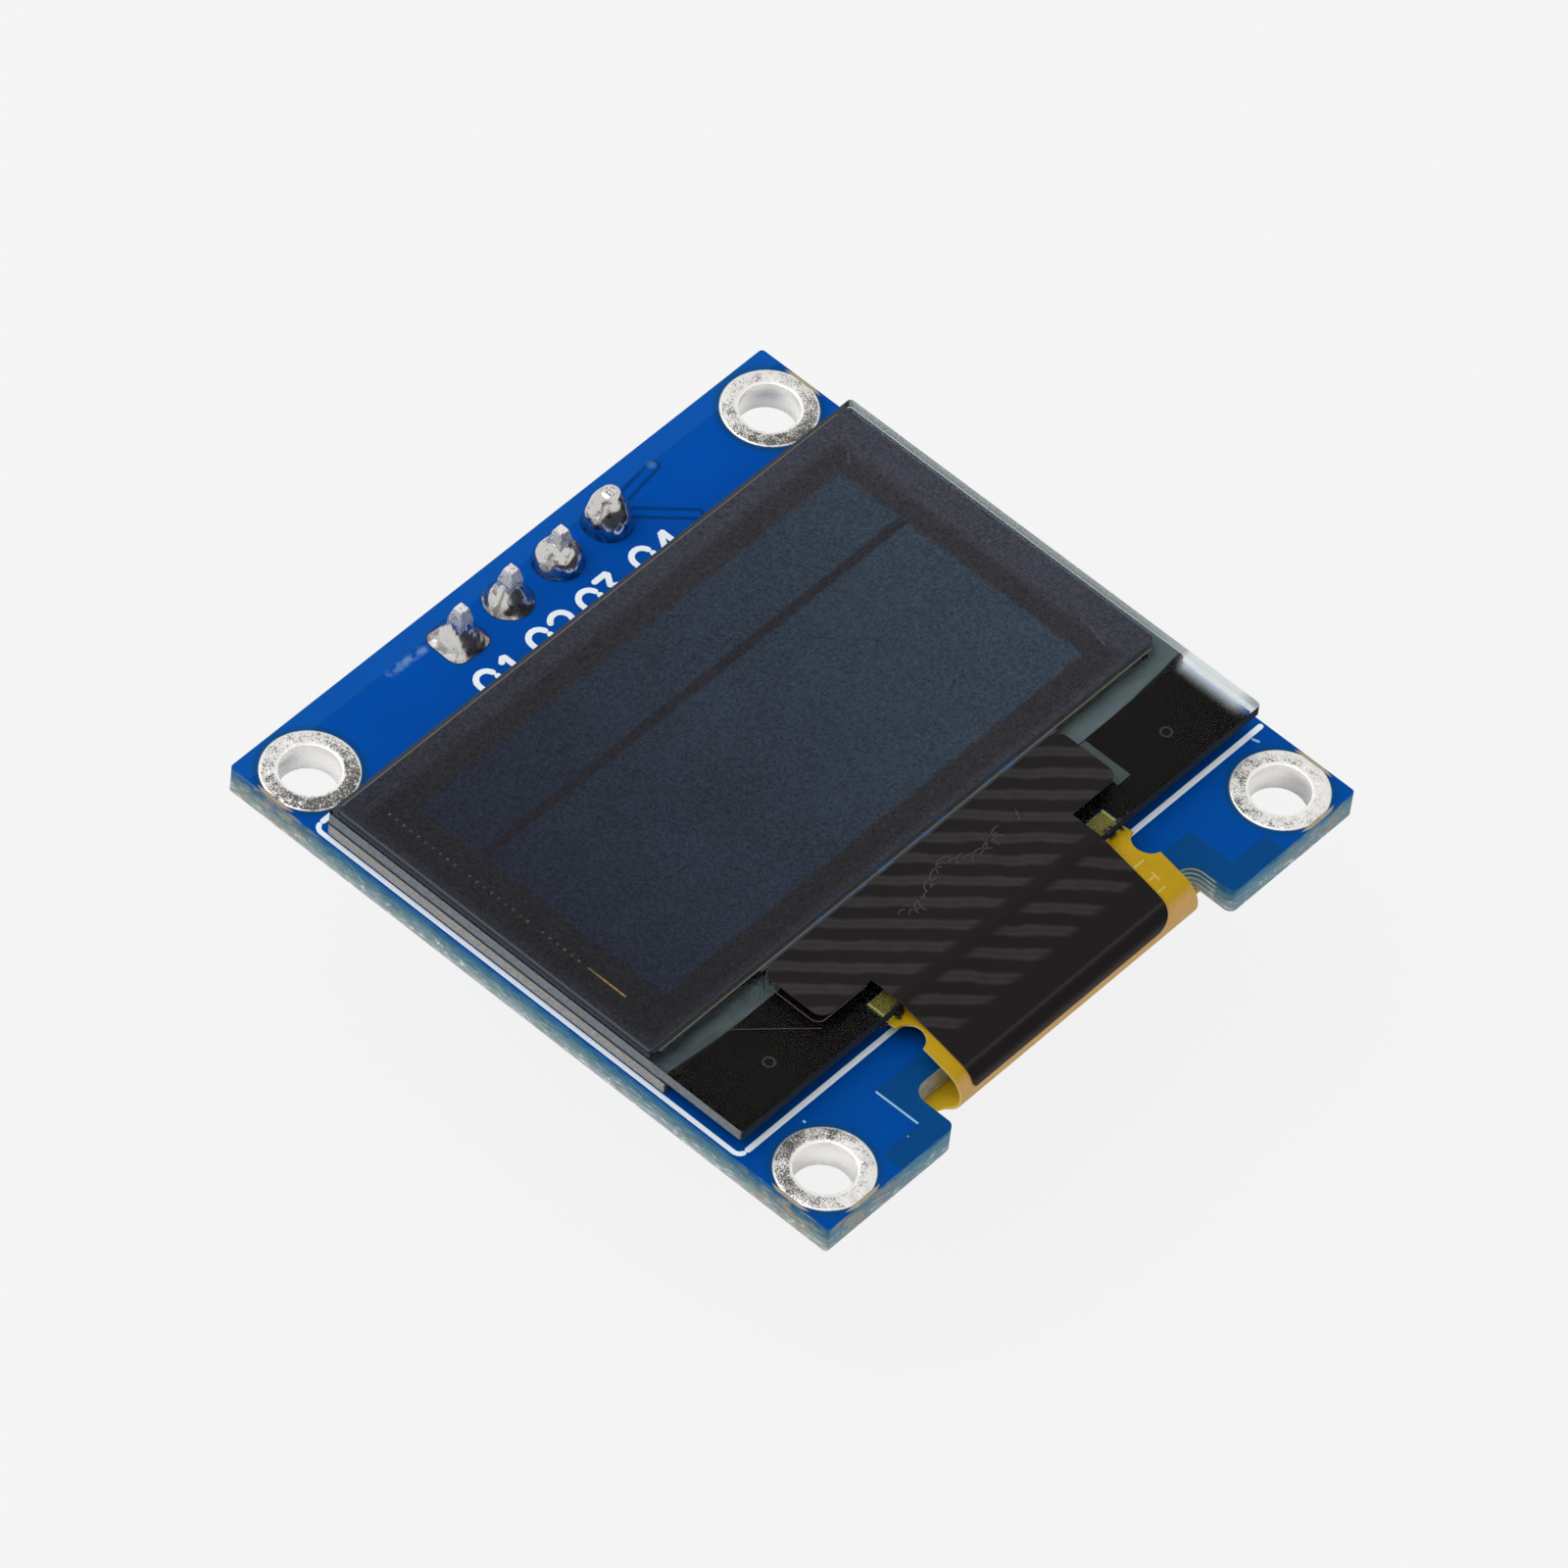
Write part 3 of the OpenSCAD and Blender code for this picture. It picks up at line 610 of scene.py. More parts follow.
# the strokes of each figure, in a cell one unit high and 0.6 wide
FIGURES = {
    0: [arc((0.3, 0.7), 0.27, 0, 180, 9) + arc((0.3, 0.3), 0.27, 180, 360, 9) + [(0.57, 0.7)]],
    1: [[(0.12, 0.78), (0.34, 0.96)], [(0.34, 0.96), (0.34, 0.0)]],
    2: [arc((0.3, 0.7), 0.27, 165, -35, 14) + [(0.04, 0.03)], [(0.04, 0.03), (0.6, 0.03)]],
    3: [[(0.04, 0.97), (0.54, 0.97)], [(0.54, 0.97), (0.27, 0.6)], arc((0.27, 0.31), 0.29, 90, -150, 16)],
    4: [[(0.46, 0.0), (0.46, 0.97)], [(0.44, 0.95), (0.0, 0.3)], [(0.0, 0.3), (0.62, 0.3)]],
}
# the middle and width of the number at each pin, the top of the row, the gap in a number and its stroke
NUMBER_PLACES = {1: (-3.82, 2.1), 2: (-1.15, 2.1), 3: (1.25, 1.8), 4: (4.1, 2.05)}
FIGURES_TOP, FIGURE_GAP, FIGURE_STROKE = 10.9, 0.12, 0.23
# the printed frame's left, right, lower and upper line, its corners, and its left line's width as a share
FRAME_LINE, FRAME_R, SIDE_LINE = (-13.44, BOARD_HIGH[0] - 0.1, -9.6, 10.12), 0.3, 0.85
# the frame's upper line leaves the numbers free between these
NUMBERS_FROM, NUMBERS_TO = -5.3, 5.6
# worn marks of print: a line and its width
WORN_MARKS = (
    ([(-8.08, -10.95), (-8.06, -12.88)], 0.08),
    ([(-10.82, -10.12), (-10.72, -10.12)], 0.16),
    ([(-8.73, -13.0), (-8.69, -13.0)], 0.1),
    ([(12.75, -9.75), (12.85, -10.05)], 0.1),
)


def number_strokes(figures, x0, y0, size, pitch, stroke, low, high, mirror=1):
    """Bars of a row of figures from its lower left corner; a mirror of -1 turns the row for the back."""
    bars = []
    for k, figure in enumerate(figures):
        for n, line in enumerate(FIGURES[figure]):
            at = [(x0 + mirror * (k * pitch + a * size), y0 + b * size) for a, b in line]
            over = LAYER * n
            under, top = (low, high + over) if mirror > 0 else (low - over, high)
            bars.append(ribbon(closer(at, 0.05), stroke, under, top))
    return bars


class OLED_OT_board(bpy.types.Operator):
    """Finishes the circuit board and prints its frame, numbers and marks"""

    bl_idname = "oled.board"
    bl_label = "Board and print"

    def execute(self, context):
        p = context.scene.oled_board
        dress(board_material(p), "circuit_board")
        ink = print_material(p)
        top, width, sunk = p.print_height / MM, p.line_width / MM, -LAYER
        left, right, low, high = FRAME_LINE
        start = left + FRAME_R
        side = arc((start, low + FRAME_R), FRAME_R, 270, 180) + [(left, low + FRAME_R), (left, high - FRAME_R)]
        side += arc((start, high - FRAME_R), FRAME_R, 180, 90)
        level = ((right, start, low), (start, NUMBERS_FROM, high), (NUMBERS_TO, right, high))
        frame_lines = [ribbon(closer([(a, y), (b, y)], 1.0), width, sunk, top) for a, b, y in level]
        frame_lines.append(ribbon(closer(side, 1.0), width * SIDE_LINE, sunk, top - LAYER))
        joined("printed_frame", frame_lines, ink, "board")
        size, strokes = p.figure_height / MM, []
        for number, (x, wide) in NUMBER_PLACES.items():
            pitch = (wide + FIGURE_GAP) / 2
            place = x - wide / 2, FIGURES_TOP - size
            strokes += number_strokes((0, number), *place, size, pitch, FIGURE_STROKE, sunk, top)
        joined("printed_numbers", strokes, ink, "board")
        marks = [ribbon(line, wide, sunk, top) for line, wide in WORN_MARKS]
        faint = plain("worn_print", "8ebbe4", 0.55, shine=0.1)
        joined("printed_marks", marks, faint, "board")
        return {"FINISHED"}


# ---- metal ----


def tin_material(p, name, seed, pits, centre=None, lean=0.0):
    """Bright tin with fine dark pits; pits is how much of it is dark. Round a hole the pits leave the bore and the
    rim clean, and lie more toward -X and, by lean, toward +Y; the bore is painted lighter as painted light."""
    s = Shade(name)
    fine = s.noise(0.055, 2, 0.6, seed=seed)
    patch = s.noise(0.42, 3, 0.55, seed=seed + 2)
    level = s.add(s.times(fine, 0.75), s.times(patch, 0.45), pits)
    if centre is not None:
        x, y = centre
        toward = s.add(s.times(s.less(s.x, x), -0.02), s.times(s.less(s.y, y), lean))
        away = s.away(x, y)
        bore = s.times(s.most(s.span(away, 1.28, 1.14), s.span(away, 1.68, 1.76)), -0.2)
        level = s.add(level, toward, bore)
    dark = s.span(level, 0.6, 0.8)
    # painted light: inside the bore the tin is painted lighter, for the light that its walls miss
    lift = 0.0 if centre is None else s.times(s.span(s.away(*centre), 1.2, 1.12), 0.2)
    bright = s.tint(p.tin, s.add(0.9, s.times(s.noise(0.03, 1, 0.5, seed=seed + 5), 0.2), lift))
    colour = s.mix(dark, bright, p.tin_dark)
    rough = s.add(p.roughness, s.times(fine, 0.12), s.times(dark, 0.2))
    height = s.add(s.times(fine, 0.8), s.times(patch, 1.5), s.times(dark, -0.6))
    return s.surface(colour, rough, s.relief(height, 0.02, 0.5), Metallic=0.7)


# a plated hole's bore, barrel and ring as radii, and its ring's distance from the board's edges
BORE_R, PLATED_R, RING_R, RING_GAP = 1.1, 1.18, 1.8, 0.12
# how much of each ring is dark pits, and how the pits lean toward +Y
RING_PITS = {1: (0.11, -0.05), 2: (0.09, -0.05), 3: (0.03, 0.02), 4: (0.08, 0.04)}


def ring_points(number, dome, rng, around=180):
    """A plated hole as one closed skin. Round the hole's axis by the angle, and along a section that goes up the
    bore, over a low dome to the ring's outer edge on the board, back to the bore's outside, down it, and round the
    ring on the back. The dome is the sine of the way across the ring, and its height wavers."""
    x0, y0 = HOLES[number]
    angle = np.linspace(0, 2 * np.pi, around, endpoint=False)
    c, n = np.cos(angle), np.sin(angle)
    edge_y = BOARD_HIGH[1] if y0 > 0 else BOARD_LOW[1]
    outer = np.full(around, RING_R)
    for turn, at, edge in ((c, x0, BOARD_HIGH[0]), (n, y0, edge_y)):
        room = (abs(edge) - RING_GAP - abs(at)) / np.maximum(abs(turn), 1e-6)
        outer = np.where(turn * at > 0, np.minimum(outer, room), outer)
    across = np.concatenate([np.linspace(0, 0.16, 5), np.linspace(0.25, 1, 12)])
    slow, quick = ripple(rng, 9, 0.5, 1.6), ripple(rng, 12, 0.12, 0.3)
    rows = []
    for side in (1, -1):
        base = 0.0 if side > 0 else BACK
        radius = BORE_R + (outer[:, None] - BORE_R) * across[None, :]
        x, y = x0 + radius * c[:, None], y0 + radius * n[:, None]
        lift = dome * np.sin(np.pi * (0.16 + 0.84 * across)) ** 0.5
        lift[0] *= 0.4
        z = base + side * np.maximum(lift[None, :] * (1 + 0.25 * slow(x, y) + 0.12 * quick(x, y)), 0.0)
        z[:, -1] = base
        skin = np.stack([x, y, z], -1)
        rows.append(skin if side > 0 else skin[:, ::-1])
    tuck = [
        np.stack([x0 + PLATED_R * c, y0 + PLATED_R * n, np.full(around, z)], -1)[:, None]
        for z in (-0.002, BACK + 0.002)
    ]
    points = np.concatenate([rows[0], tuck[0], tuck[1], rows[1]], 1)
    return points, quads(points.shape[0], points.shape[1], wrap_rows=True, wrap_columns=True)


# each solder joint's height, the power of its fall from pad to pin, and how much it swells half way up
JOINTS = {1: (1.1, 1.6, 0.0), 2: (1.0, 2.2, 0.14), 3: (1.15, 1.7, 0.24), 4: (1.66, 0.9, 0.1)}
# radii of a joint's pad, its neck at the pin, the barrel and the dome at the back, and the dome's height
PAD_R, NECK_R, BARREL_R, DOME_R, DOME_H = 0.95, 0.33, 0.5, 0.65, 0.2


def joint_points(number, rng, around=88, up=40):
    """A solder joint as one closed skin. Above the board the radius falls from the pad to the pin by a power of
    what is left of the height, with a swell of a half sine wave; the first pad's outline is a rounded square, and
    waves make it uneven. Under the pad the skin goes down the hole and over a low dome at the back."""
    x0, y0 = PINS[number][:2]
    height, bow, swell = JOINTS[number]
    angle = np.linspace(0, 2 * np.pi, around, endpoint=False)[:, None]
    t = np.linspace(0, 1, up)[None, :]
    square = (abs(np.cos(angle)) ** 4 + abs(np.sin(angle)) ** 4) ** (-1 / 4) if number == 1 else 1 + 0 * angle
    pad = PAD_R * (square * (1 - t) + t)
    radius = NECK_R + (pad - NECK_R) * (1 - t) ** bow + swell * np.sin(np.pi * t) ** 1.2
    radius = np.minimum(radius, PAD_R * square)
    slow, quick = ripple(rng, 5, 0.9, 1.8), ripple(rng, 9, 0.3, 0.6)
    x, y, z = x0 + radius * np.cos(angle), y0 + radius * np.sin(angle), height * t + 0 * angle
    wave = 0.05 * slow(x + z * 0.5, y - z * 0.6) + 0.012 * quick(x - z * 0.5, y + z * 0.4)
    radius = radius * (1 + wave * np.sin(np.pi * np.clip(t * 0.9 + 0.06, 0, 1)))
    skin = np.stack([x0 + radius * np.cos(angle), y0 + radius * np.sin(angle), z], -1)
    top = np.broadcast_to([x0, y0, height + 0.04], (around, 1, 3))
    fall = np.linspace(0, np.pi / 2, 6)
    dome = [(DOME_R * math.sin(a), BACK - DOME_H * math.cos(a)) for a in fall]
    under, _ = lathe(x0, y0, dome + [(BARREL_R, BACK), (BARREL_R, -0.001)], around)
    points = np.concatenate([under, skin, top], 1)
    return points, quads(points.shape[0], points.shape[1], wrap_rows=True)


class OLED_OT_plating(bpy.types.Operator):
    """Builds the tinned rings and barrels of the corner holes"""

    bl_idname = "oled.plating"
    bl_label = "Tinned holes"

    def execute(self, context):
        p = context.scene.oled_metal
        rng = np.random.default_rng(11)
        for number, (pits, lean) in RING_PITS.items():
            material = tin_material(p, f"tin_ring_{number}", number * 3.0, pits, HOLES[number], lean)
            skin = ring_points(number, p.dome / MM, rng)
            old = [f"hole_plating_{number}"]
            piece(f"tinned_hole_{number}", *skin, material, "plating", smooth=True, replaces=old)
        return {"FINISHED"}


def solder_material(p):
    """Bright solder with darker drawn patches, partly flux and oxide and partly a painted reflection of dark
    surroundings, and more dark patches near the board as painted reflection.
    """
    s = Shade("solder")
    patch = s.noise(0.34, 3, 0.55, seed=6.0, distort=0.6)
    fine = s.noise(0.09, 2, 0.5, seed=4.0)
    # painted reflection: the dark patches, and the extra ones near the board, are partly flux and partly dark
    # surroundings
    flux = s.span(patch, 0.5, 0.66)
    low_reflection = s.span(s.z, 0.5, 0.0)
    dark = s.most(s.times(flux, 0.8), s.times(low_reflection, s.span(patch, 0.38, 0.55), 0.7))
    colour = s.mix(dark, s.tint(p.solder, s.add(0.86, s.times(fine, 0.24))), p.tarnish_and_reflection)
    height = s.add(s.times(fine, 0.15), patch)
    return s.surface(colour, s.add(0.1, s.times(fine, 0.1)), s.relief(height, 0.012, 0.35), Metallic=1.0)


def strip_material(p):
    """Matt black plastic with faint flow marks along the strip."""
    s = Shade("strip_plastic")
    fine = s.noise(0.08)
    flow = s.noise(0.9, 2, 0.5, seed=3.0, stretch=(1.0, 1.0, 0.4))
    colour = s.tint(p.strip, s.add(0.7, s.times(fine, 0.5), s.times(flow, 0.3)))
    return s.surface(colour, s.add(0.38, s.times(fine, 0.2)), s.relief(fine, 0.015), shine=0.35)


class OLED_OT_header(bpy.types.Operator):
    """Finishes the pins and their strip, and builds the solder joints"""

    bl_idname = "oled.header"
    bl_label = "Header"

    def execute(self, context):
        p = context.scene.oled_metal
        dress(tin_material(p, "tin_pins", 21.0, 0.03), *(f"header_pin_{i}" for i in PINS))
        dress(strip_material(context.scene.oled_back), "header_strip")
        material = solder_material(p)
        rng = np.random.default_rng(5)
        for number in PINS:
            skin = joint_points(number, rng)
            old = [f"solder_joint_{number}"]
            piece(f"solder_cone_{number}", *skin, material, "solder", smooth=True, replaces=old)
        return {"FINISHED"}


# ---- panel ----

# the lit area and the line that splits it, as they show on the polarizer
LIT_X, LIT_Y = (-11.15, 10.35), (-3.85, 7.5)
SPLIT_Y = (4.32, 4.72)
# small cracks at two corners of the lit area, and the coat's alignment rings
CRACKS = (((11.2, -4.1), (11.45, -3.2)), ((10.9, 7.6), (11.2, 7.9)))
ALIGNMENT_RINGS = ((10.3, -7.85), (-10.25, -7.95))
# the glasses' room to the sheets above and below, their corners, and where the ledge's end painted pale starts
GLASS_GAP, GLASS_R, PALE_END_X = 0.01, 0.15, 12.35
# the recess in the cap glass: its distance from the edges, its corner and its depth
RECESS_IN, RECESS_R, RECESS_D = 0.9, 0.2, 0.2
# how deep the dark bands under the glass's face lie, and the levels of the sheet under the clear window
BAND_D, SHEET_Z = 0.008, (0.66, 0.706)


def polarizer_material(p):
    """The dark polarizer with what shows under it: the lit area in fine grain, lighter toward +X as a painted
    glare, the line that splits it, its border in two tones and lighter toward +X and +Y, a row of dots that ends in
    a yellow line, small cracks at two corners, and upright edges painted pale grey as a painted highlight."""
    s = Shade("polarizer_over_pixels")
    grain = s.noise(0.11, 3, 0.75, distort=0.3)
    cloud = s.noise(3.0, 3, 0.55, seed=2.0)
    # painted glare: the lit area is painted lighter toward +X
    toward = s.span(s.add(s.x, s.times(s.y, -0.25), s.times(cloud, 3.0)), -10.0, 13.0, smooth=False)
    across = s.span(s.add(s.x, s.times(s.y, 0.5)), -11.0, 14.0, 0.78, 1.42, smooth=False)
    border = s.tint(s.mix(s.box(-12.9, 11.3, -4.9, 8.5, 0.25), p.border, p.border_inner), across)
    colour = s.mix(s.box(*LIT_X, *LIT_Y, 0.13), border, s.mix(toward, p.lit_left, p.lit_right_glare))
    split = s.times(s.box(*LIT_X, *SPLIT_Y, 0.09), s.add(0.35, s.times(s.noise(0.25, 2, 0.6, seed=6.0), 0.7)))
    colour = s.mix(split, colour, "262022")
    pitch = p.dot_pitch / MM
    phase = s.size(s.less(s.math("FRACT", s.times(s.y, 1 / pitch)), 0.5))
    dots = s.times(s.span(phase, 0.2, 0.08), s.box(-12.15, -12.07, -1.1, 8.2, 0.035))
    dots = s.times(dots, s.span(s.noise(0.5, 2, 0.6, seed=9.0), 0.3, 0.6))
    colour = s.lay(colour, "8a8985", dots, 0.4)
    yellow = s.box(-12.14, -12.08, -3.0, -1.25, 0.03)
    colour = s.lay(colour, "c9a662", yellow, s.span(s.y, -1.0, -2.9, 0.25, 0.7))
    cracks = s.most(*(s.span(s.segment(a, b), 0.07, 0.01) for a, b in CRACKS))
    colour = s.lay(colour, "a49a84", cracks, 0.12)
    tone = s.add(-0.58, s.times(grain, 2.7), s.times(cloud, 0.3))
    # painted highlight: the upright edges are painted pale grey
    upright = s.span(s.facing(2), 0.3, 0.6)
    colour = s.mix(upright, "5a5d60", s.tint(colour, tone))
    return s.surface(colour, s.add(0.42, s.times(grain, 0.1)), s.relief(grain, 0.004, 0.5), shine=0.06)


def glass_material(p, name):
    """Clear glass with ground cut edges painted by the side they face, as painted light and shade: dark at -Y,
    violet grey at +Y, pale at +X, and grey elsewhere. A face's back turns its side round, so that an edge looks the
    same from inside. The front glass is painted pale and opaque at the ledge's +X end, a painted reflection of the
    pale surroundings. Light from the lamp goes straight through."""
    s = Shade(name)
    front = name.startswith("front")
    chip = s.noise(0.16, 4, 0.7, stretch=(1.0, 1.0, 2.2))
    upright = s.span(s.size(s.facing(2)), 0.3, 0.6)
    turn = s.span(s.node("ShaderNodeNewGeometry").outputs["Backfacing"], 0.0, 1.0, 1.0, -1.0, smooth=False)
    toward_x, toward_y = s.times(s.facing(0), turn), s.times(s.facing(1), turn)
    # painted light and shade: the cut edges are darker where they face -Y, violet grey at +Y and pale at +X
    edge = s.mix(s.span(toward_y, -0.3, -0.7), p.glass_edge if front else "989691", "2b333c")
    edge = s.mix(s.span(toward_y, 0.3, 0.7), edge, "5b5a60")
    edge = s.tint(edge, s.add(0.1, s.times(chip, 1.7)))
    pale = s.tint("e4e9ea", s.add(0.75, s.times(chip, 0.4)))
    edge = s.mix(s.span(toward_x, 0.3, 0.7), edge, pale)
    # painted reflection: the front glass is painted pale and opaque at the ledge's +X end
    pale_end_y = s.times(s.span(s.y, -6.0, -6.4), s.span(s.y, GLASS_LOW[1], -8.6))
    pale_end = s.times(s.span(s.x, PALE_END_X, GLASS_HIGH[0] - 0.05), pale_end_y)
    pale_end = s.times(s.math("POWER", pale_end, 1.6), 0.75 if front else 0.0)
    face = s.mix(s.span(pale_end, 0.0, 0.05), p.glass, "e6eaec")
    s.surface(
        s.mix(upright, edge, face),
        s.span(upright, 0, 1, 0.5, 0.01),
        s.relief(s.times(chip, s.less(1.0, upright)), 0.004),
        Transmission_Weight=s.less(upright, s.times(upright, pale_end)),
        IOR=1.09,
        shine=0.2,
    )
    return s.over(s.ray("Shadow"), s.node("ShaderNodeBsdfTransparent", "e4ecea").outputs[0])


def seal_material(p):
    """Greenish seal under the edges of the front glass, pale where the ledge's coat stops short, and black where
    the coat runs over it in a shallow curve."""
    s = Shade("seal_resin")
    wave = s.noise(0.5)
    streak = s.noise(0.3, stretch=(0.3, 1.6, 1.0), seed=4.0)
    side = s.span(s.x, -13.3, 13.0, smooth=False)
    colour = s.mix(side, "343b44", "565e66")
    low = s.times(s.span(s.y, -5.2, -5.4), s.span(streak, 0.3, 0.7))
    colour = s.lay(colour, "545a57", low, 0.6)
    outward = s.math("POWER", s.span(s.size(s.x), 7.6, 13.2, smooth=False), 1.4)
    coat_line = s.add(-6.2, s.times(outward, 0.36), s.times(s.less(wave, 0.5), 0.1))
    covered = s.span(s.less(coat_line, s.y), -0.06, 0.06)
    colour = s.mix(covered, s.tint(colour, s.add(0.7, s.times(wave, 0.6))), p.coat)
    glint = s.times(s.span(s.noise(0.35, 2, 0.6, seed=12.0), 0.6, 0.7), s.band(s.y, -5.75, -5.35))
    glint = s.times(glint, s.span(s.size(s.x), 6.0, 5.0))
    colour = s.lay(colour, "2f67a8", glint, 0.6)
    return s.surface(colour, 0.5, s.relief(wave, 0.01), shine=0.1)


def coat_material(p):
    """Black coat, a little brown, with two small alignment rings."""
    s = Shade("black_coat")
    fine = s.noise(0.15)
    cloud = s.noise(1.5, seed=5.0)
    colour = s.tint(p.coat, s.add(0.7, s.times(fine, 0.25), s.times(cloud, 0.4)))
    for place in ALIGNMENT_RINGS:
        ring = s.band(s.away(*place), 0.17, 0.24, 0.03)
        colour = s.lay(colour, "565250", ring, 0.45)
    return s.surface(colour, 0.4, s.relief(fine, 0.008), shine=0.05)


def glass_loops(low, high, bevel):
    """Loops of a glass plate from its box: a bevel of equal inset and height along each long edge, and a little
    room to the sheets above and below."""
    z0, z1 = low[2] + GLASS_GAP, high[2] - GLASS_GAP
    at = (low[0], high[0], low[1], high[1], GLASS_R)
    return [rounded_loop(*at, *level) for level in ((z0, bevel), (z0 + bevel,), (z1 - bevel,), (z1, bevel))]


def build_glasses(p):
    """The front glass as a bevelled plate, and the cap glass as one whose top goes down into its recess."""
    bevel, top = p.bevel / MM, CAP_HIGH[2] - GLASS_GAP
    recess = (CAP_LOW[0] + RECESS_IN, CAP_HIGH[0] - RECESS_IN, CAP_LOW[1] + RECESS_IN, CAP_HIGH[1] - RECESS_IN)
    plates = {
        "front_glass": glass_loops(GLASS_LOW, GLASS_HIGH, bevel),
        "cap_glass": glass_loops(CAP_LOW, CAP_HIGH, bevel)
        + [rounded_loop(*recess, RECESS_R, z) for z in (top, top - RECESS_D)],
    }
    for name, loops in plates.items():
        material = glass_material(p, f"{name}_clear")
        piece(f"{name}_plate", *stacked(loops), material, "glass", replaces=[name])


def gap_material():
    """The dark gap between polarizer and film, with blue glints near its middle."""
    s = Shade("film_gap")
    blue = s.times(s.span(s.noise(0.5, 2, 0.6, seed=12.0), 0.5, 0.6), s.band(s.x, -4.8, 5.4, 0.3))
    grey = s.tint("3c4043", s.add(0.6, s.times(s.noise(0.2), 0.8)))
    return s.surface(s.mix(s.times(blue, 0.55), grey, "1d5796"), 0.5, shine=0.1)


def build_margins():
    """Thin sheets and bars at the glass's margins: a sheet under the clear window beside the film, pale lines along
    the polarizer's edges as a painted highlight, the dark gap between it and the film, and dark bands beside it as
    painted shade."""
    sheet = plain("window_sheet", "454b4a", 0.5, spread=0.6, shine=0.1)
    x0, x1, y1 = FILM_HIGH[0] - 0.3, FILM_HIGH[0] + 0.85, CAP_LOW[1] - 0.02
    loops = [rounded_loop(x0, x1, -8.5, y1, 0.1, z) for z in SHEET_Z]
    piece("window_sheet", *stacked(loops), sheet, "seal")
    face = GLASS_HIGH[2]
    left, right, gap_y = POL_LOW[0], POL_HIGH[0], POL_LOW[1] - 0.16
    deep, second = face - BAND_D, face - 0.001
    # painted highlight: pale lines on the glass along the polarizer's lower and upper edges
    pale = plain("polarizer_edge_highlight", "6b6860", 0.5, spread=0.8, shine=0.1)
    highlight_lines = [
        ribbon([(left + 0.3, y), (right - 0.3, y)], 0.05, face - 0.003, face + LAYER)
        for y in (gap_y, POL_HIGH[1] + 0.14)
    ]
    joined("polarizer_edge_highlight", highlight_lines, pale, "polarizer")
    bands = [
        ribbon([(FILM_LOW[0], gap_y), (FILM_HIGH[0], gap_y)], 0.31, deep, face),
        ribbon([(left + 0.1, gap_y + 0.1), (right - 0.1, gap_y + 0.1)], 0.1, deep, second),
    ]
    joined("film_gap", bands, gap_material(), "seal")
    # painted shade: dark bands at the glass's left and upper margins, for the seal in the polarizer's shade
    margin_shade = plain("glass_margin_shade", "38404a", 0.5, spread=0.8, shine=0.1)
    x, top = (GLASS_LOW[0] + left) / 2, (GLASS_HIGH[1] + POL_HIGH[1]) / 2
    bands = [
        ribbon([(x + 0.01, -5.2), (x + 0.01, top)], 0.14, deep, face),
        ribbon([(x, top), (right + 0.2, top)], 0.28, deep, second),
    ]
    joined("glass_margin_shade", bands, margin_shade, "seal")


class OLED_OT_panel(bpy.types.Operator):
    """Builds the two glasses with bevelled edges and finishes the polarizer, the seal and the coat"""

    bl_idname = "oled.panel"
    bl_label = "Display panel"

    def execute(self, context):
        p = context.scene.oled_panel
        dress(polarizer_material(p), "polarizer")
        build_glasses(p)
        build_margins()
        dress(seal_material(p), "seal_frame")
        dress(coat_material(p), "ledge_coat")
        dress(plain("silicon_die", "1d2026", 0.2), "driver_die")
        dress(plain("pixel_metal", "39444e", 0.3, Metallic=0.6), "pixel_layer")
        dress(plain("drying_sheet", "9a9a92", 0.6), "desiccant_sheet")
        dress(plain("adhesive_foam", "c9c9c0", 0.8), "panel_adhesive")
        return {"FINISHED"}


# ---- flex ----

# pale ticks on the flex as boxes in x and y, and a stripe row's slope, pitch as a share, start and reach in y
FLEX_TICKS = (
    (4.95, 5.45, -11.1, -11.04),
    (5.0, 5.35, -11.76, -11.7),
    (5.3, 5.36, -11.92, -11.55),
    (4.9, 5.3, -12.25, -12.19),
)
STRIPE_ROWS = ((1.0, 1.0, -13.0, -9.15, -5.3), (0.83, 0.87, -13.9, -11.45, -9.8))
# the rim of adhesive beside the film's head: its lower side, its end toward the film and its corner; and the
# corners of a scratch beside it
RIM_Y, RIM_END, RIM_R = -8.28, -5.72, 0.35
SCRATCH = [(-10.7, -6.1), (-9.2, -7.5), (-8.2, -8.45)]
# the resin specks along the ledge's edge: from, to and how many, in two runs
SPECK_RUNS = ((-6.45, -5.35, 12), (4.95, 6.4, 12))


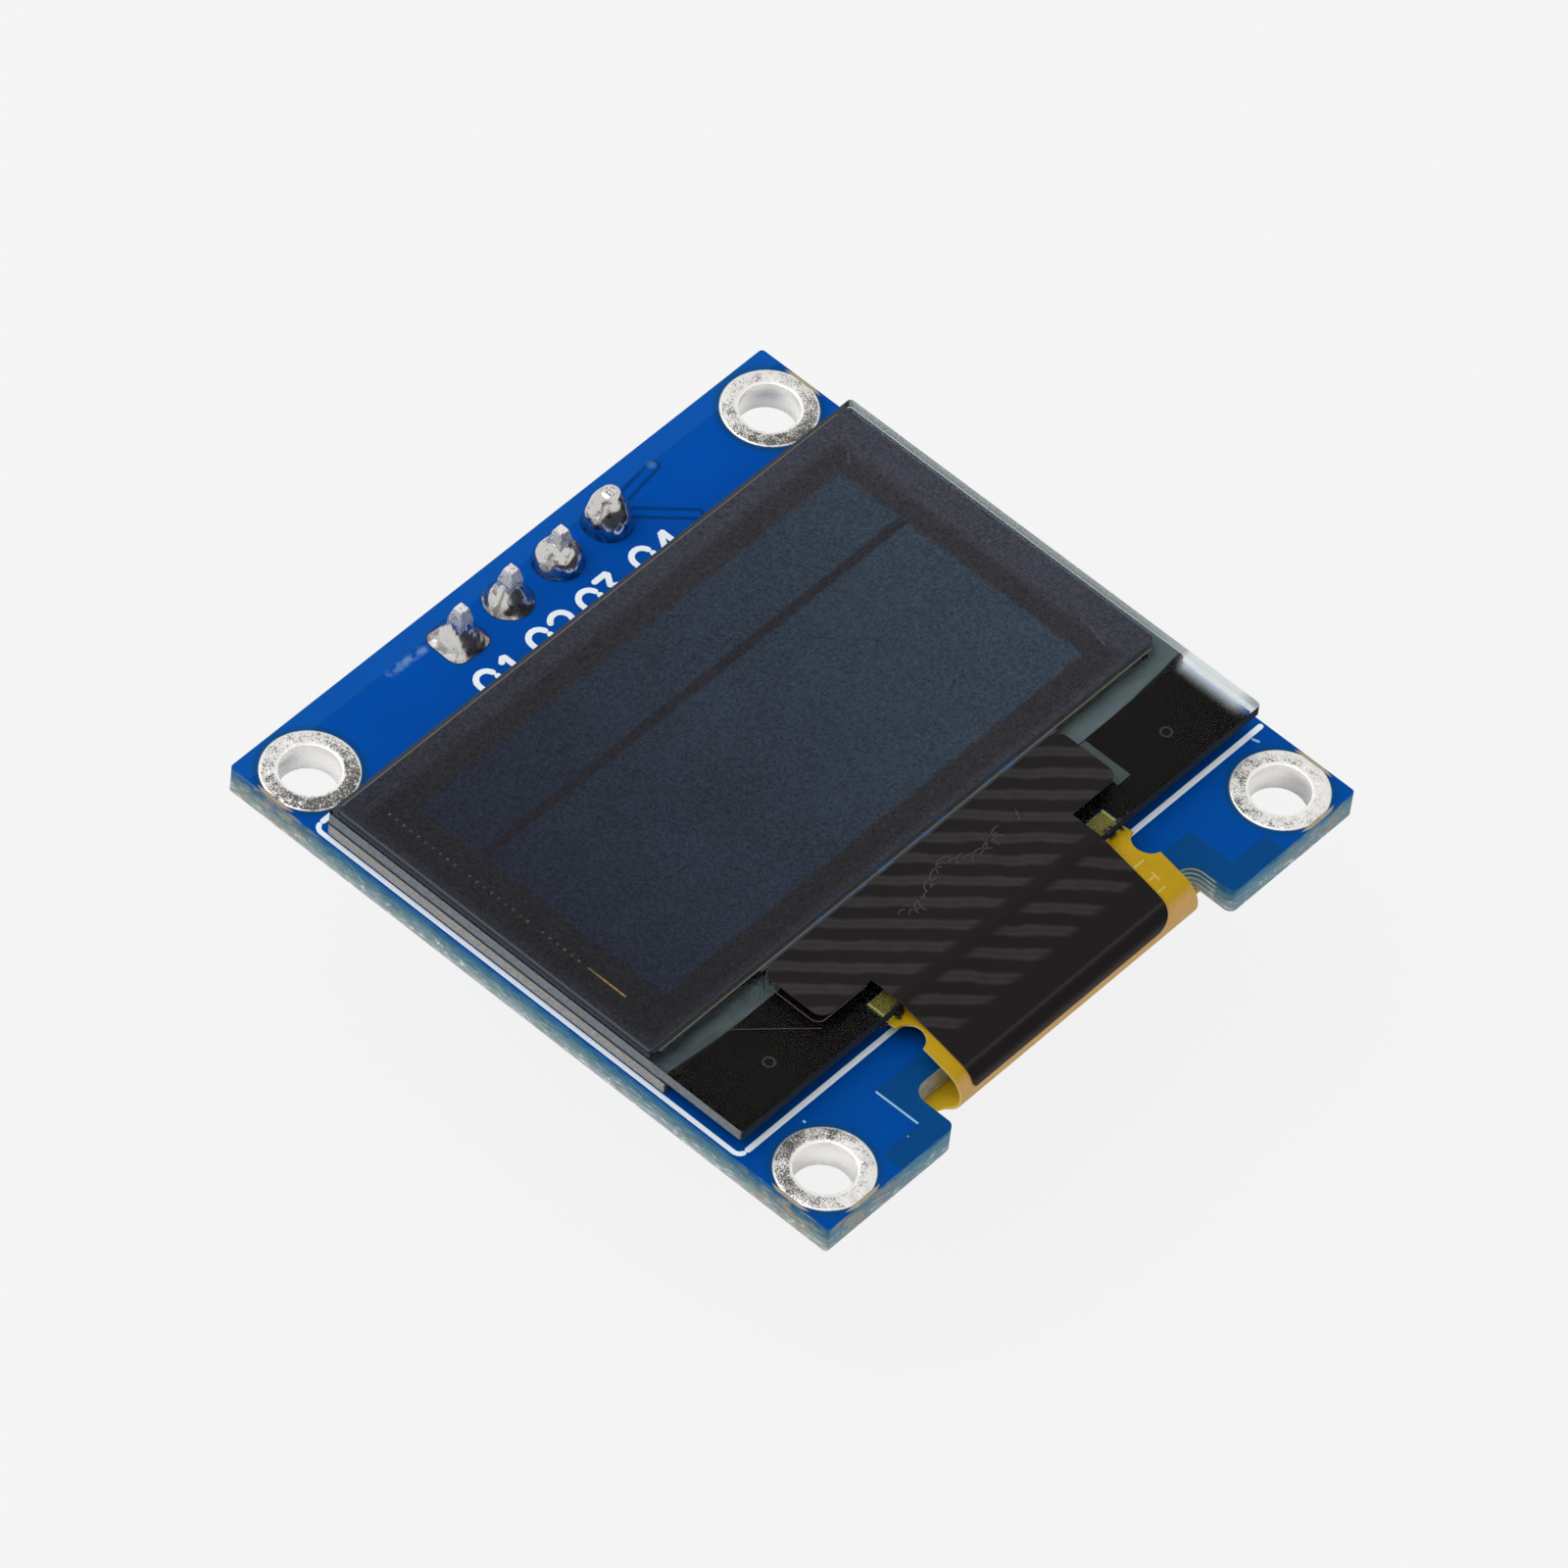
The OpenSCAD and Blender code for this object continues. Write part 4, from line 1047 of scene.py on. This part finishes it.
def flex_material(p):
    """Amber polyimide, more yellow over copper, with straight traces, pale cut edges, an inner side painted bright
    as painted light, a painted highlight along the fold, three pale ticks near its edge, and an olive look where it
    lies bonded under the glass."""
    s = Shade("amber_flex")
    fine = s.noise(0.1)
    cloud = s.noise(1.1, 3, 0.55, seed=2.0)
    wave = s.math("SINE", s.times(s.x, 2 * math.pi / 0.62))
    trace = s.times(s.span(wave, -0.4, 0.4), s.span(s.z, -1.0, -1.1))
    colour = s.mix(s.add(s.times(trace, 0.6), s.times(s.span(cloud, 0.35, 0.7), 0.35)), p.amber, p.amber_deep)
    # painted light: the tail's inner side is painted bright
    inner = s.times(s.span(s.z, -0.35, -0.75), s.span(s.facing(2), -0.2, 0.3))
    colour = s.mix(inner, colour, p.inside)
    # painted highlight along the fold
    folded = s.times(s.span(s.y, -12.6, -13.0), s.span(s.z, -1.0, -0.4))
    colour = s.lay(colour, "d9ab74", folded, 0.75)
    upright = s.span(s.size(s.facing(0)), 0.5, 0.8)
    colour = s.lay(colour, "efcf7e", upright, 0.8)
    front = s.span(s.z, -0.2, 0.0)
    marks = s.times(s.most(*(s.box(*tick, 0.03) for tick in FLEX_TICKS)), front)
    colour = s.lay(colour, "ecdc96", marks, 0.38)
    side = s.size(s.less(s.x, 0.05))
    edge = s.most(s.band(side, 5.98, 6.06, 0.03), s.band(s.y, -9.5, -9.38, 0.03))
    bonded = s.mix(s.times(edge, 0.8), s.tint(p.under_glass, s.add(0.7, s.times(cloud, 0.6))), "a8985a")
    free = s.tint(colour, s.add(0.82, s.times(fine, 0.3)))
    colour = s.mix(s.times(s.span(s.y, -9.58, -9.52), front), free, bonded)
    height = s.relief(s.times(trace, -0.6), 0.012, 0.6)
    return s.surface(colour, s.add(0.3, s.times(fine, 0.12)), height, shine=0.12)


def film_material(p):
    """Black film with two rows of slanted stripes pressed into it, one on the ledge and one on the slope, and a
    crease across it above the fold."""
    s = Shade("black_film")
    fine = s.noise(0.1)
    wander = s.times(s.less(s.noise(1.3, 2, 0.5), 0.5), 0.5)
    pitch = p.stripe_pitch / MM
    rows = []
    for slope, part, first, low, high in STRIPE_ROWS:
        width = pitch * part
        slant = s.add(s.times(s.x, slope), s.y, wander, -first + 40 * width)
        phase = s.size(s.less(s.math("FRACT", s.add(s.times(slant, 1 / width), 0.5)), 0.5))
        body = s.times(s.span(phase, 0.3, 0.12), s.band(s.y, low, high, 0.16))
        core = s.times(s.span(phase, 0.12, 0.02), 0.25)
        rows.append(s.times(body, s.less(1.0, core)))
    stripe = s.times(s.add(*rows), s.add(0.45, s.times(s.noise(0.6, seed=3.0), 1.0)))
    crease = s.times(s.band(s.y, -12.66, -12.56, 0.05), 0.75)
    below = s.span(s.y, -12.7, -12.8)
    dust = s.span(s.noise(0.16, 3, 0.7, seed=9.0), 0.68, 0.78)
    base = s.tint(p.film, s.add(0.8, s.times(fine, 0.3), s.times(below, -0.3)))
    colour = s.mix(s.most(stripe, crease), base, p.stripe)
    colour = s.lay(colour, "5a5654", dust, 0.2)
    upright = s.span(s.size(s.facing(2)), 0.6, 0.3)
    colour = s.lay(colour, "55504d", upright, 0.5)
    height = s.add(s.times(stripe, -1), s.times(fine, 0.15), s.times(crease, 0.6))
    return s.surface(colour, s.add(0.42, s.times(fine, 0.14)), s.relief(height, 0.03, 0.5), shine=0.06)


def crease_paths(rng):
    """Short bent creases in the film's head: arcs with drawn places, sizes and turns along a wavering row."""
    paths = []
    for k in range(20):
        x = -2.6 + 0.27 * k + rng.uniform(-0.08, 0.08)
        y = -7.15 - 0.3 * math.sin(k * 0.5) + rng.uniform(-0.15, 0.15)
        radius, start = rng.uniform(0.12, 0.5), rng.uniform(20, 80)
        paths.append(arc((x, y), radius, start, start + rng.uniform(50, 150), 8))
    paths.append([(3.35, -7.2), (3.5, -6.9), (3.6, -6.75)])
    return paths


def speck(rng, x, y, z, size):
    """A lump of resin: a half ball flattened to 0.45 of its height whose radius wavers with the angle."""
    profile = [(math.sin(a), 0.45 * math.cos(a)) for a in np.linspace(0, np.pi / 2, 5)] + [(0, 0)]
    points, faces = lathe(0, 0, profile, 12)
    angle = np.arctan2(points[..., 1], points[..., 0])
    waver = 1 + 0.22 * np.sin(2 * angle + rng.uniform(0, 6)) + 0.14 * np.sin(5 * angle + rng.uniform(0, 6))
    points[..., :2] *= waver[..., None]
    return points * size + np.array([x, y, z]), faces


class OLED_OT_flex(bpy.types.Operator):
    """Finishes the folded flex tail, its cover film and its solder, with the film's creases and resin specks"""

    bl_idname = "oled.flex"
    bl_label = "Flex tail"

    def execute(self, context):
        p = context.scene.oled_flex
        dress(flex_material(p), "flex_circuit")
        dress(film_material(p), "cover_film")
        resin = plain("dark_resin", p.resin, 0.3, spread=0.6, shine=0.2)
        dress(resin, "edge_resin")
        dress(solder_material(context.scene.oled_metal), "tail_solder")
        top, face = FILM_HIGH[2], GLASS_HIGH[2]
        rng = np.random.default_rng(23)
        pale = plain("film_crease", "47403f", 0.5, spread=0.7, shine=0.1)
        creases = [ribbon(closer(path, 0.08), 0.045, top - LAYER, top + 3 * LAYER) for path in crease_paths(rng)]
        joined("film_creases", creases, pale, "film")
        left = FILM_LOW[0] - 0.26
        rim = [(left + 0.5, -5.45), (left, -5.9), (left, RIM_Y + RIM_R)]
        rim += arc((left + RIM_R, RIM_Y + RIM_R), RIM_R, 180, 270) + [(left + RIM_R, RIM_Y), (RIM_END, RIM_Y)]
        lines = [
            ribbon(closer(rim, 0.2), 0.04, face - LAYER, face + 0.002),
            ribbon(SCRATCH, 0.03, face - LAYER, face + 0.001),
        ]
        joined("adhesive_rim", lines, pale, "film")
        specks = []
        for x0, x1, count in SPECK_RUNS:
            for _ in range(count):
                x, y = rng.uniform(x0, x1), rng.uniform(-9.72, -9.5)
                z = face - 0.02 if y > GLASS_LOW[1] else GLASS_LOW[2] + 0.12
                specks.append(speck(rng, x, y, z, rng.uniform(0.05, 0.12)))
        joined("resin_specks", specks, resin, "resin", smooth=True)
        return {"FINISHED"}


# ---- back ----


def chip_material(p, name, body):
    """A chip's coated body with bright tinned ends."""
    s = Shade(name)
    fine = s.noise(0.06)
    low, high = box_mm(name.rsplit("_", 1)[0] + "_1")
    centre, ends_from = (low[1] + high[1]) / 2, (high[1] - low[1]) / 2 - p.end_width / MM
    ends = s.span(s.size(s.less(s.y, centre)), ends_from - 0.01, ends_from + 0.01)
    coated = s.tint(body, s.add(0.7, s.times(fine, 0.5)))
    tinned = s.tint("cfccc6", s.add(0.8, s.times(fine, 0.35)))
    height = s.relief(s.add(fine, s.times(ends, 0.6)), 0.02)
    return s.surface(s.mix(ends, coated, tinned), s.span(ends, 0, 1, 0.38, 0.3), height, Metallic=ends)


# traces on the back as corners in millimetres: from the tail's joints to the chips, alike on both sides, and
# from the chips to the header
TAIL_LINES = (
    [(8.68, -8.2), (8.68, -7.2), (8.05, -6.6)],
    [(6.2, -8.2), (6.2, -7.6), (5.75, -7.1), (5.75, -6.6)],
    [(3.72, -8.2), (3.72, -7.4), (3.45, -7.1), (3.45, -6.6)],
    [(1.24, -8.2), (1.24, -6.6)],
)
BACK_TRACES = (
    *([(-x, y) for x, y in line] for line in TAIL_LINES),
    *TAIL_LINES[::-1],
    [(-8.05, -1.9), (-8.05, 3.2), (-5.7, 5.5)],
    [(-5.75, -1.9), (-5.75, 1.2), (-4.6, 2.4)],
    [(-3.45, -1.9), (-3.45, 0.6), (-1.27, 2.8), (-1.27, 11.2)],
    [(-1.15, -1.9), (-1.15, 0.2), (1.27, 2.7), (1.27, 11.2)],
    [(1.15, -1.9), (1.15, -0.6), (3.81, 2.1), (3.81, 11.2)],
    [(3.45, -1.9), (3.45, 0.0), (5.3, 1.9), (5.3, 3.4)],
    [(5.75, -1.9), (5.75, 1.6), (6.4, 2.3), (6.4, 5.6)],
    [(8.05, -1.9), (8.05, 6.4), (6.4, 8.2), (6.4, 7.6)],
    [(-3.81, 11.2), (-3.81, 9.6), (-6.2, 7.4)],
)
# the figures on the back, the width of the lines there, and the depth of the traces
BACK_FIGURES = dict(size=1.2, pitch=0.9, stroke=0.18)
BACK_FIGURES_X, BACK_FIGURES_Y, BACK_LINE, TRACE_T = 0.35, 9.1, 0.12, 0.025
# the radii of the small holes in the bore and at its mouth, and the holes' middles
SMALL_BORE, SMALL_MOUTH = 0.13, 0.16
SMALL_HOLES = (
    *((-4.6, 2.6), (5.3, 3.6), (-9.9, -4.2), (9.9, -4.2), (-10.3, 4.8)),
    *((10.2, 3.2), (-2.3, -0.4), (2.3, 8.6), (-9.6, 8.4)),
)


def back_lines():
    """Lines printed on the back: a frame round the regulator and the diode, a short bar between chips, and a bar
    beside the header."""
    lines = []
    for name, room in (("regulator", 0.35), ("diode", 0.3)):
        low, high = box_mm(name)
        x0, x1, y0, y1 = low[0] - room, high[0] + room, low[1] - room, high[1] + room
        lines.append([(x0, y0), (x1, y0), (x1, y1), (x0, y1), (x0, y0)])
    for name in ("resistor", "capacitor"):
        low, high = box_mm(f"{name}_1")[0], box_mm(f"{name}_8")[1]
        bars = np.linspace(low[0], high[0] - 0.8, 8) - 0.22
        lines += [[(x, low[1] + 0.3), (x, high[1] - 0.3)] for x in bars]
    low, high = box_mm("header_strip")
    return lines + [[(low[0] - 0.3, low[1] - 0.25), (high[0] + 0.3, low[1] - 0.25)]]


def package_marks():
    """A dot on the regulator and a band across the diode, both a thin skin on the package."""
    (x0, _, z), (_, y1, _) = box_mm("regulator")
    skin = z + LAYER, z + 0.0005
    dot = lathe(x0 + 0.5, y1 - 0.5, [(0.001, skin[0]), (0.2, skin[0]), (0.2, skin[1]), (0.001, skin[1])], 20)
    (x0, y0, z), (x1, _, _) = box_mm("diode")
    return [dot, ribbon([(x0 + 0.25, y0 + 0.55), (x1 - 0.25, y0 + 0.55)], 0.22, z + 0.0005, z + LAYER)]


class OLED_OT_back(bpy.types.Operator):
    """Finishes the small parts on the back, and builds the traces, small holes, print and pin 1 marks there"""

    bl_idname = "oled.back"
    bl_label = "Parts on the back"

    def execute(self, context):
        p, b = context.scene.oled_back, context.scene.oled_board
        package = plain("moulded_package", p.package, 0.5, shine=0.3)
        dress(package, "regulator", "diode")
        dress(chip_material(p, "resistor_coat", p.resistor), *(f"resistor_{i}" for i in range(1, 9)))
        dress(chip_material(p, "capacitor_ceramic", p.ceramic), *(f"capacitor_{i}" for i in range(1, 9)))
        dress(solder_material(context.scene.oled_metal), "chip_solder")
        low, high = BACK - TRACE_T, BACK + LAYER
        traces = [ribbon(closer(path, 0.4), b.trace_width / MM, low, high) for path in BACK_TRACES]
        joined("back_traces", traces, trace_material(b), "board")
        tin = tin_material(context.scene.oled_metal, "tin_vias", 31.0, 0.02)
        r, skin = p.via / MM, low - 0.01
        profile = [(r, high), (r, low), (r - 0.04, skin), (SMALL_MOUTH, skin)]
        profile += [(SMALL_BORE, low), (SMALL_BORE, high)]
        rings = [lathe(x, y, profile, 28)[0] for x, y in SMALL_HOLES]
        rings = [(points, quads(*points.shape[:2], wrap_rows=True, wrap_columns=True)) for points in rings]
        joined("small_holes", rings, tin, "plating", smooth=True)
        ink_low = BACK - b.print_height / MM
        strokes = [ribbon(closer(path, 0.6), BACK_LINE, ink_low, high) for path in back_lines()]
        for number, at in PINS.items():
            place = at[0] + BACK_FIGURES_X, BACK_FIGURES_Y
            strokes += number_strokes((number,), *place, low=ink_low, high=high, mirror=-1, **BACK_FIGURES)
        joined("back_print", strokes, print_material(b), "board")
        joined("package_marks", package_marks(), plain("package_marks", "9a9a98", 0.6), "package")
        return {"FINISHED"}


# ---- stage ----

# how much of the floor shows at full strength, its reach in metres, and its gap under the part
FLOOR_OWN, FLOOR_REACH, FLOOR_GAP = 0.94, 4.0, 0.00005
# where the key light comes from
KEY_FROM = (-0.38, 0.42, 0.82)
# the camera's pose in degrees and millimetres, and its lens: the focal length as a share of the picture's width
# and the sensor's width
VIEW_AZIMUTH, VIEW_ELEVATION, VIEW_ROLL = -53.461856, 50.899283, 7.350951
VIEW_DISTANCE, VIEW_RIGHT, VIEW_UP = 496.413392, -0.343911, -0.158636
VIEW_OFFSET = (-0.02, 0.105, 0.0)
FOCAL_SHARE = 9.20129625
SENSOR = 36.0


def world_light(p):
    """An even pale sky; camera and glossy rays see the backdrop itself. Rays through the glass don't, because sky
    light reaches what lies under it by them."""
    world = bpy.data.worlds.new("studio")
    bpy.context.scene.world = world
    s = Nodes(world)
    shows, lights = s.node("ShaderNodeBackground", p.backdrop), s.node("ShaderNodeBackground", "ffffff", p.sky)
    seen = s.most(s.ray("Camera"), s.ray("Glossy"))
    mixed = s.node("ShaderNodeMixShader", seen, lights.outputs[0], shows.outputs[0])
    s.node("ShaderNodeOutputWorld", mixed.outputs[0])


def floor_material(p):
    """The backdrop's colour; to the camera most of it shows at full strength and the rest takes the shadow."""
    s = Shade("pale_floor")
    s.surface(p.backdrop, 0.9, shine=0.0)
    return s.over(s.times(s.ray("Camera"), FLOOR_OWN), s.node("ShaderNodeEmission", p.backdrop).outputs[0])


def camera_pose():
    """The camera's axes from its azimuth, elevation and roll, and its place a distance back along its axis."""
    a, e, r = (math.radians(v) for v in (VIEW_AZIMUTH, VIEW_ELEVATION, VIEW_ROLL))
    back = np.array([math.sin(a) * math.cos(e), -math.cos(a) * math.cos(e), math.sin(e)])
    flat = np.array([math.cos(a), math.sin(a), 0.0])
    rise = np.cross(back, flat)
    right = flat * math.cos(r) + rise * math.sin(r)
    up = rise * math.cos(r) - flat * math.sin(r)
    place = back * VIEW_DISTANCE + right * VIEW_RIGHT + up * VIEW_UP + np.array(VIEW_OFFSET)
    pose = np.eye(4)
    pose[:3, 0], pose[:3, 1], pose[:3, 2], pose[:3, 3] = right, up, back, place * MM
    return Matrix(pose.tolist())


class OLED_OT_stage(bpy.types.Operator):
    """Makes the pale floor, the even light, the key light and the camera"""

    bl_idname = "oled.stage"
    bl_label = "Stage"

    def execute(self, context):
        p = context.scene.oled_stage
        scene = context.scene
        scene.view_settings.view_transform = "Standard"
        world_light(p)
        low = CAD_BOX[0][2] - FLOOR_GAP
        mesh = bpy.data.meshes.new("floor")
        corners = [(x * FLOOR_REACH, y * FLOOR_REACH, low) for x, y in ((-1, -1), (1, -1), (1, 1), (-1, 1))]
        mesh.from_pydata(corners, [], [(0, 1, 2, 3)])
        mesh.materials.append(floor_material(p))
        floor = bpy.data.objects.new("floor", mesh)
        scene.collection.objects.link(floor)
        lamp = bpy.data.lights.new("key", "SUN")
        lamp.energy, lamp.angle = p.key, p.key_angle
        key = bpy.data.objects.new("key", lamp)
        key.rotation_euler = Vector(KEY_FROM).to_track_quat("Z", "Y").to_euler()
        scene.collection.objects.link(key)
        lens = bpy.data.cameras.new("camera")
        lens.sensor_width, lens.lens = SENSOR, SENSOR * FOCAL_SHARE
        lens.clip_start, lens.clip_end = 0.01, 20
        camera = bpy.data.objects.new("camera", lens)
        camera.matrix_world = camera_pose()
        scene.collection.objects.link(camera)
        scene.camera = camera
        return {"FINISHED"}


class OLED_PT_panel(bpy.types.Panel):
    """Lists the module's pieces and their settings"""

    bl_idname = "OLED_PT_panel"
    bl_label = "OLED module"
    bl_space_type = "VIEW_3D"
    bl_region_type = "UI"
    bl_category = "OLED module"

    def draw(self, context):
        for key, group, operator in STEPS:
            column = self.layout.box().column()
            column.operator(operator.bl_idname)
            settings = getattr(context.scene, key)
            for name in group.__annotations__:
                column.prop(settings, name)


# where each step keeps its settings, their group, and its operator, in the order they run
STEPS = (
    ("oled_board", OLED_PG_board, OLED_OT_board),
    ("oled_metal", OLED_PG_metal, OLED_OT_plating),
    ("oled_metal", OLED_PG_metal, OLED_OT_header),
    ("oled_panel", OLED_PG_panel, OLED_OT_panel),
    ("oled_flex", OLED_PG_flex, OLED_OT_flex),
    ("oled_back", OLED_PG_back, OLED_OT_back),
    ("oled_stage", OLED_PG_stage, OLED_OT_stage),
)
CLASSES = (*dict.fromkeys(group for _, group, _ in STEPS), *(o for _, _, o in STEPS), OLED_PT_panel)


def register():
    for kind in CLASSES:
        bpy.utils.register_class(kind)
    for key, group, _ in STEPS:
        setattr(bpy.types.Scene, key, PointerProperty(type=group))


def unregister():
    for key in dict.fromkeys(key for key, _, _ in STEPS):
        delattr(bpy.types.Scene, key)
    for kind in reversed(CLASSES):
        bpy.utils.unregister_class(kind)


def main():
    """Registers the add-on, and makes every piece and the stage."""
    register()
    for _, _, operator in STEPS:
        group, name = operator.bl_idname.split(".")
        if getattr(getattr(bpy.ops, group), name)() != {"FINISHED"}:
            raise RuntimeError(operator.bl_idname)


if __name__ == "__main__":
    main()
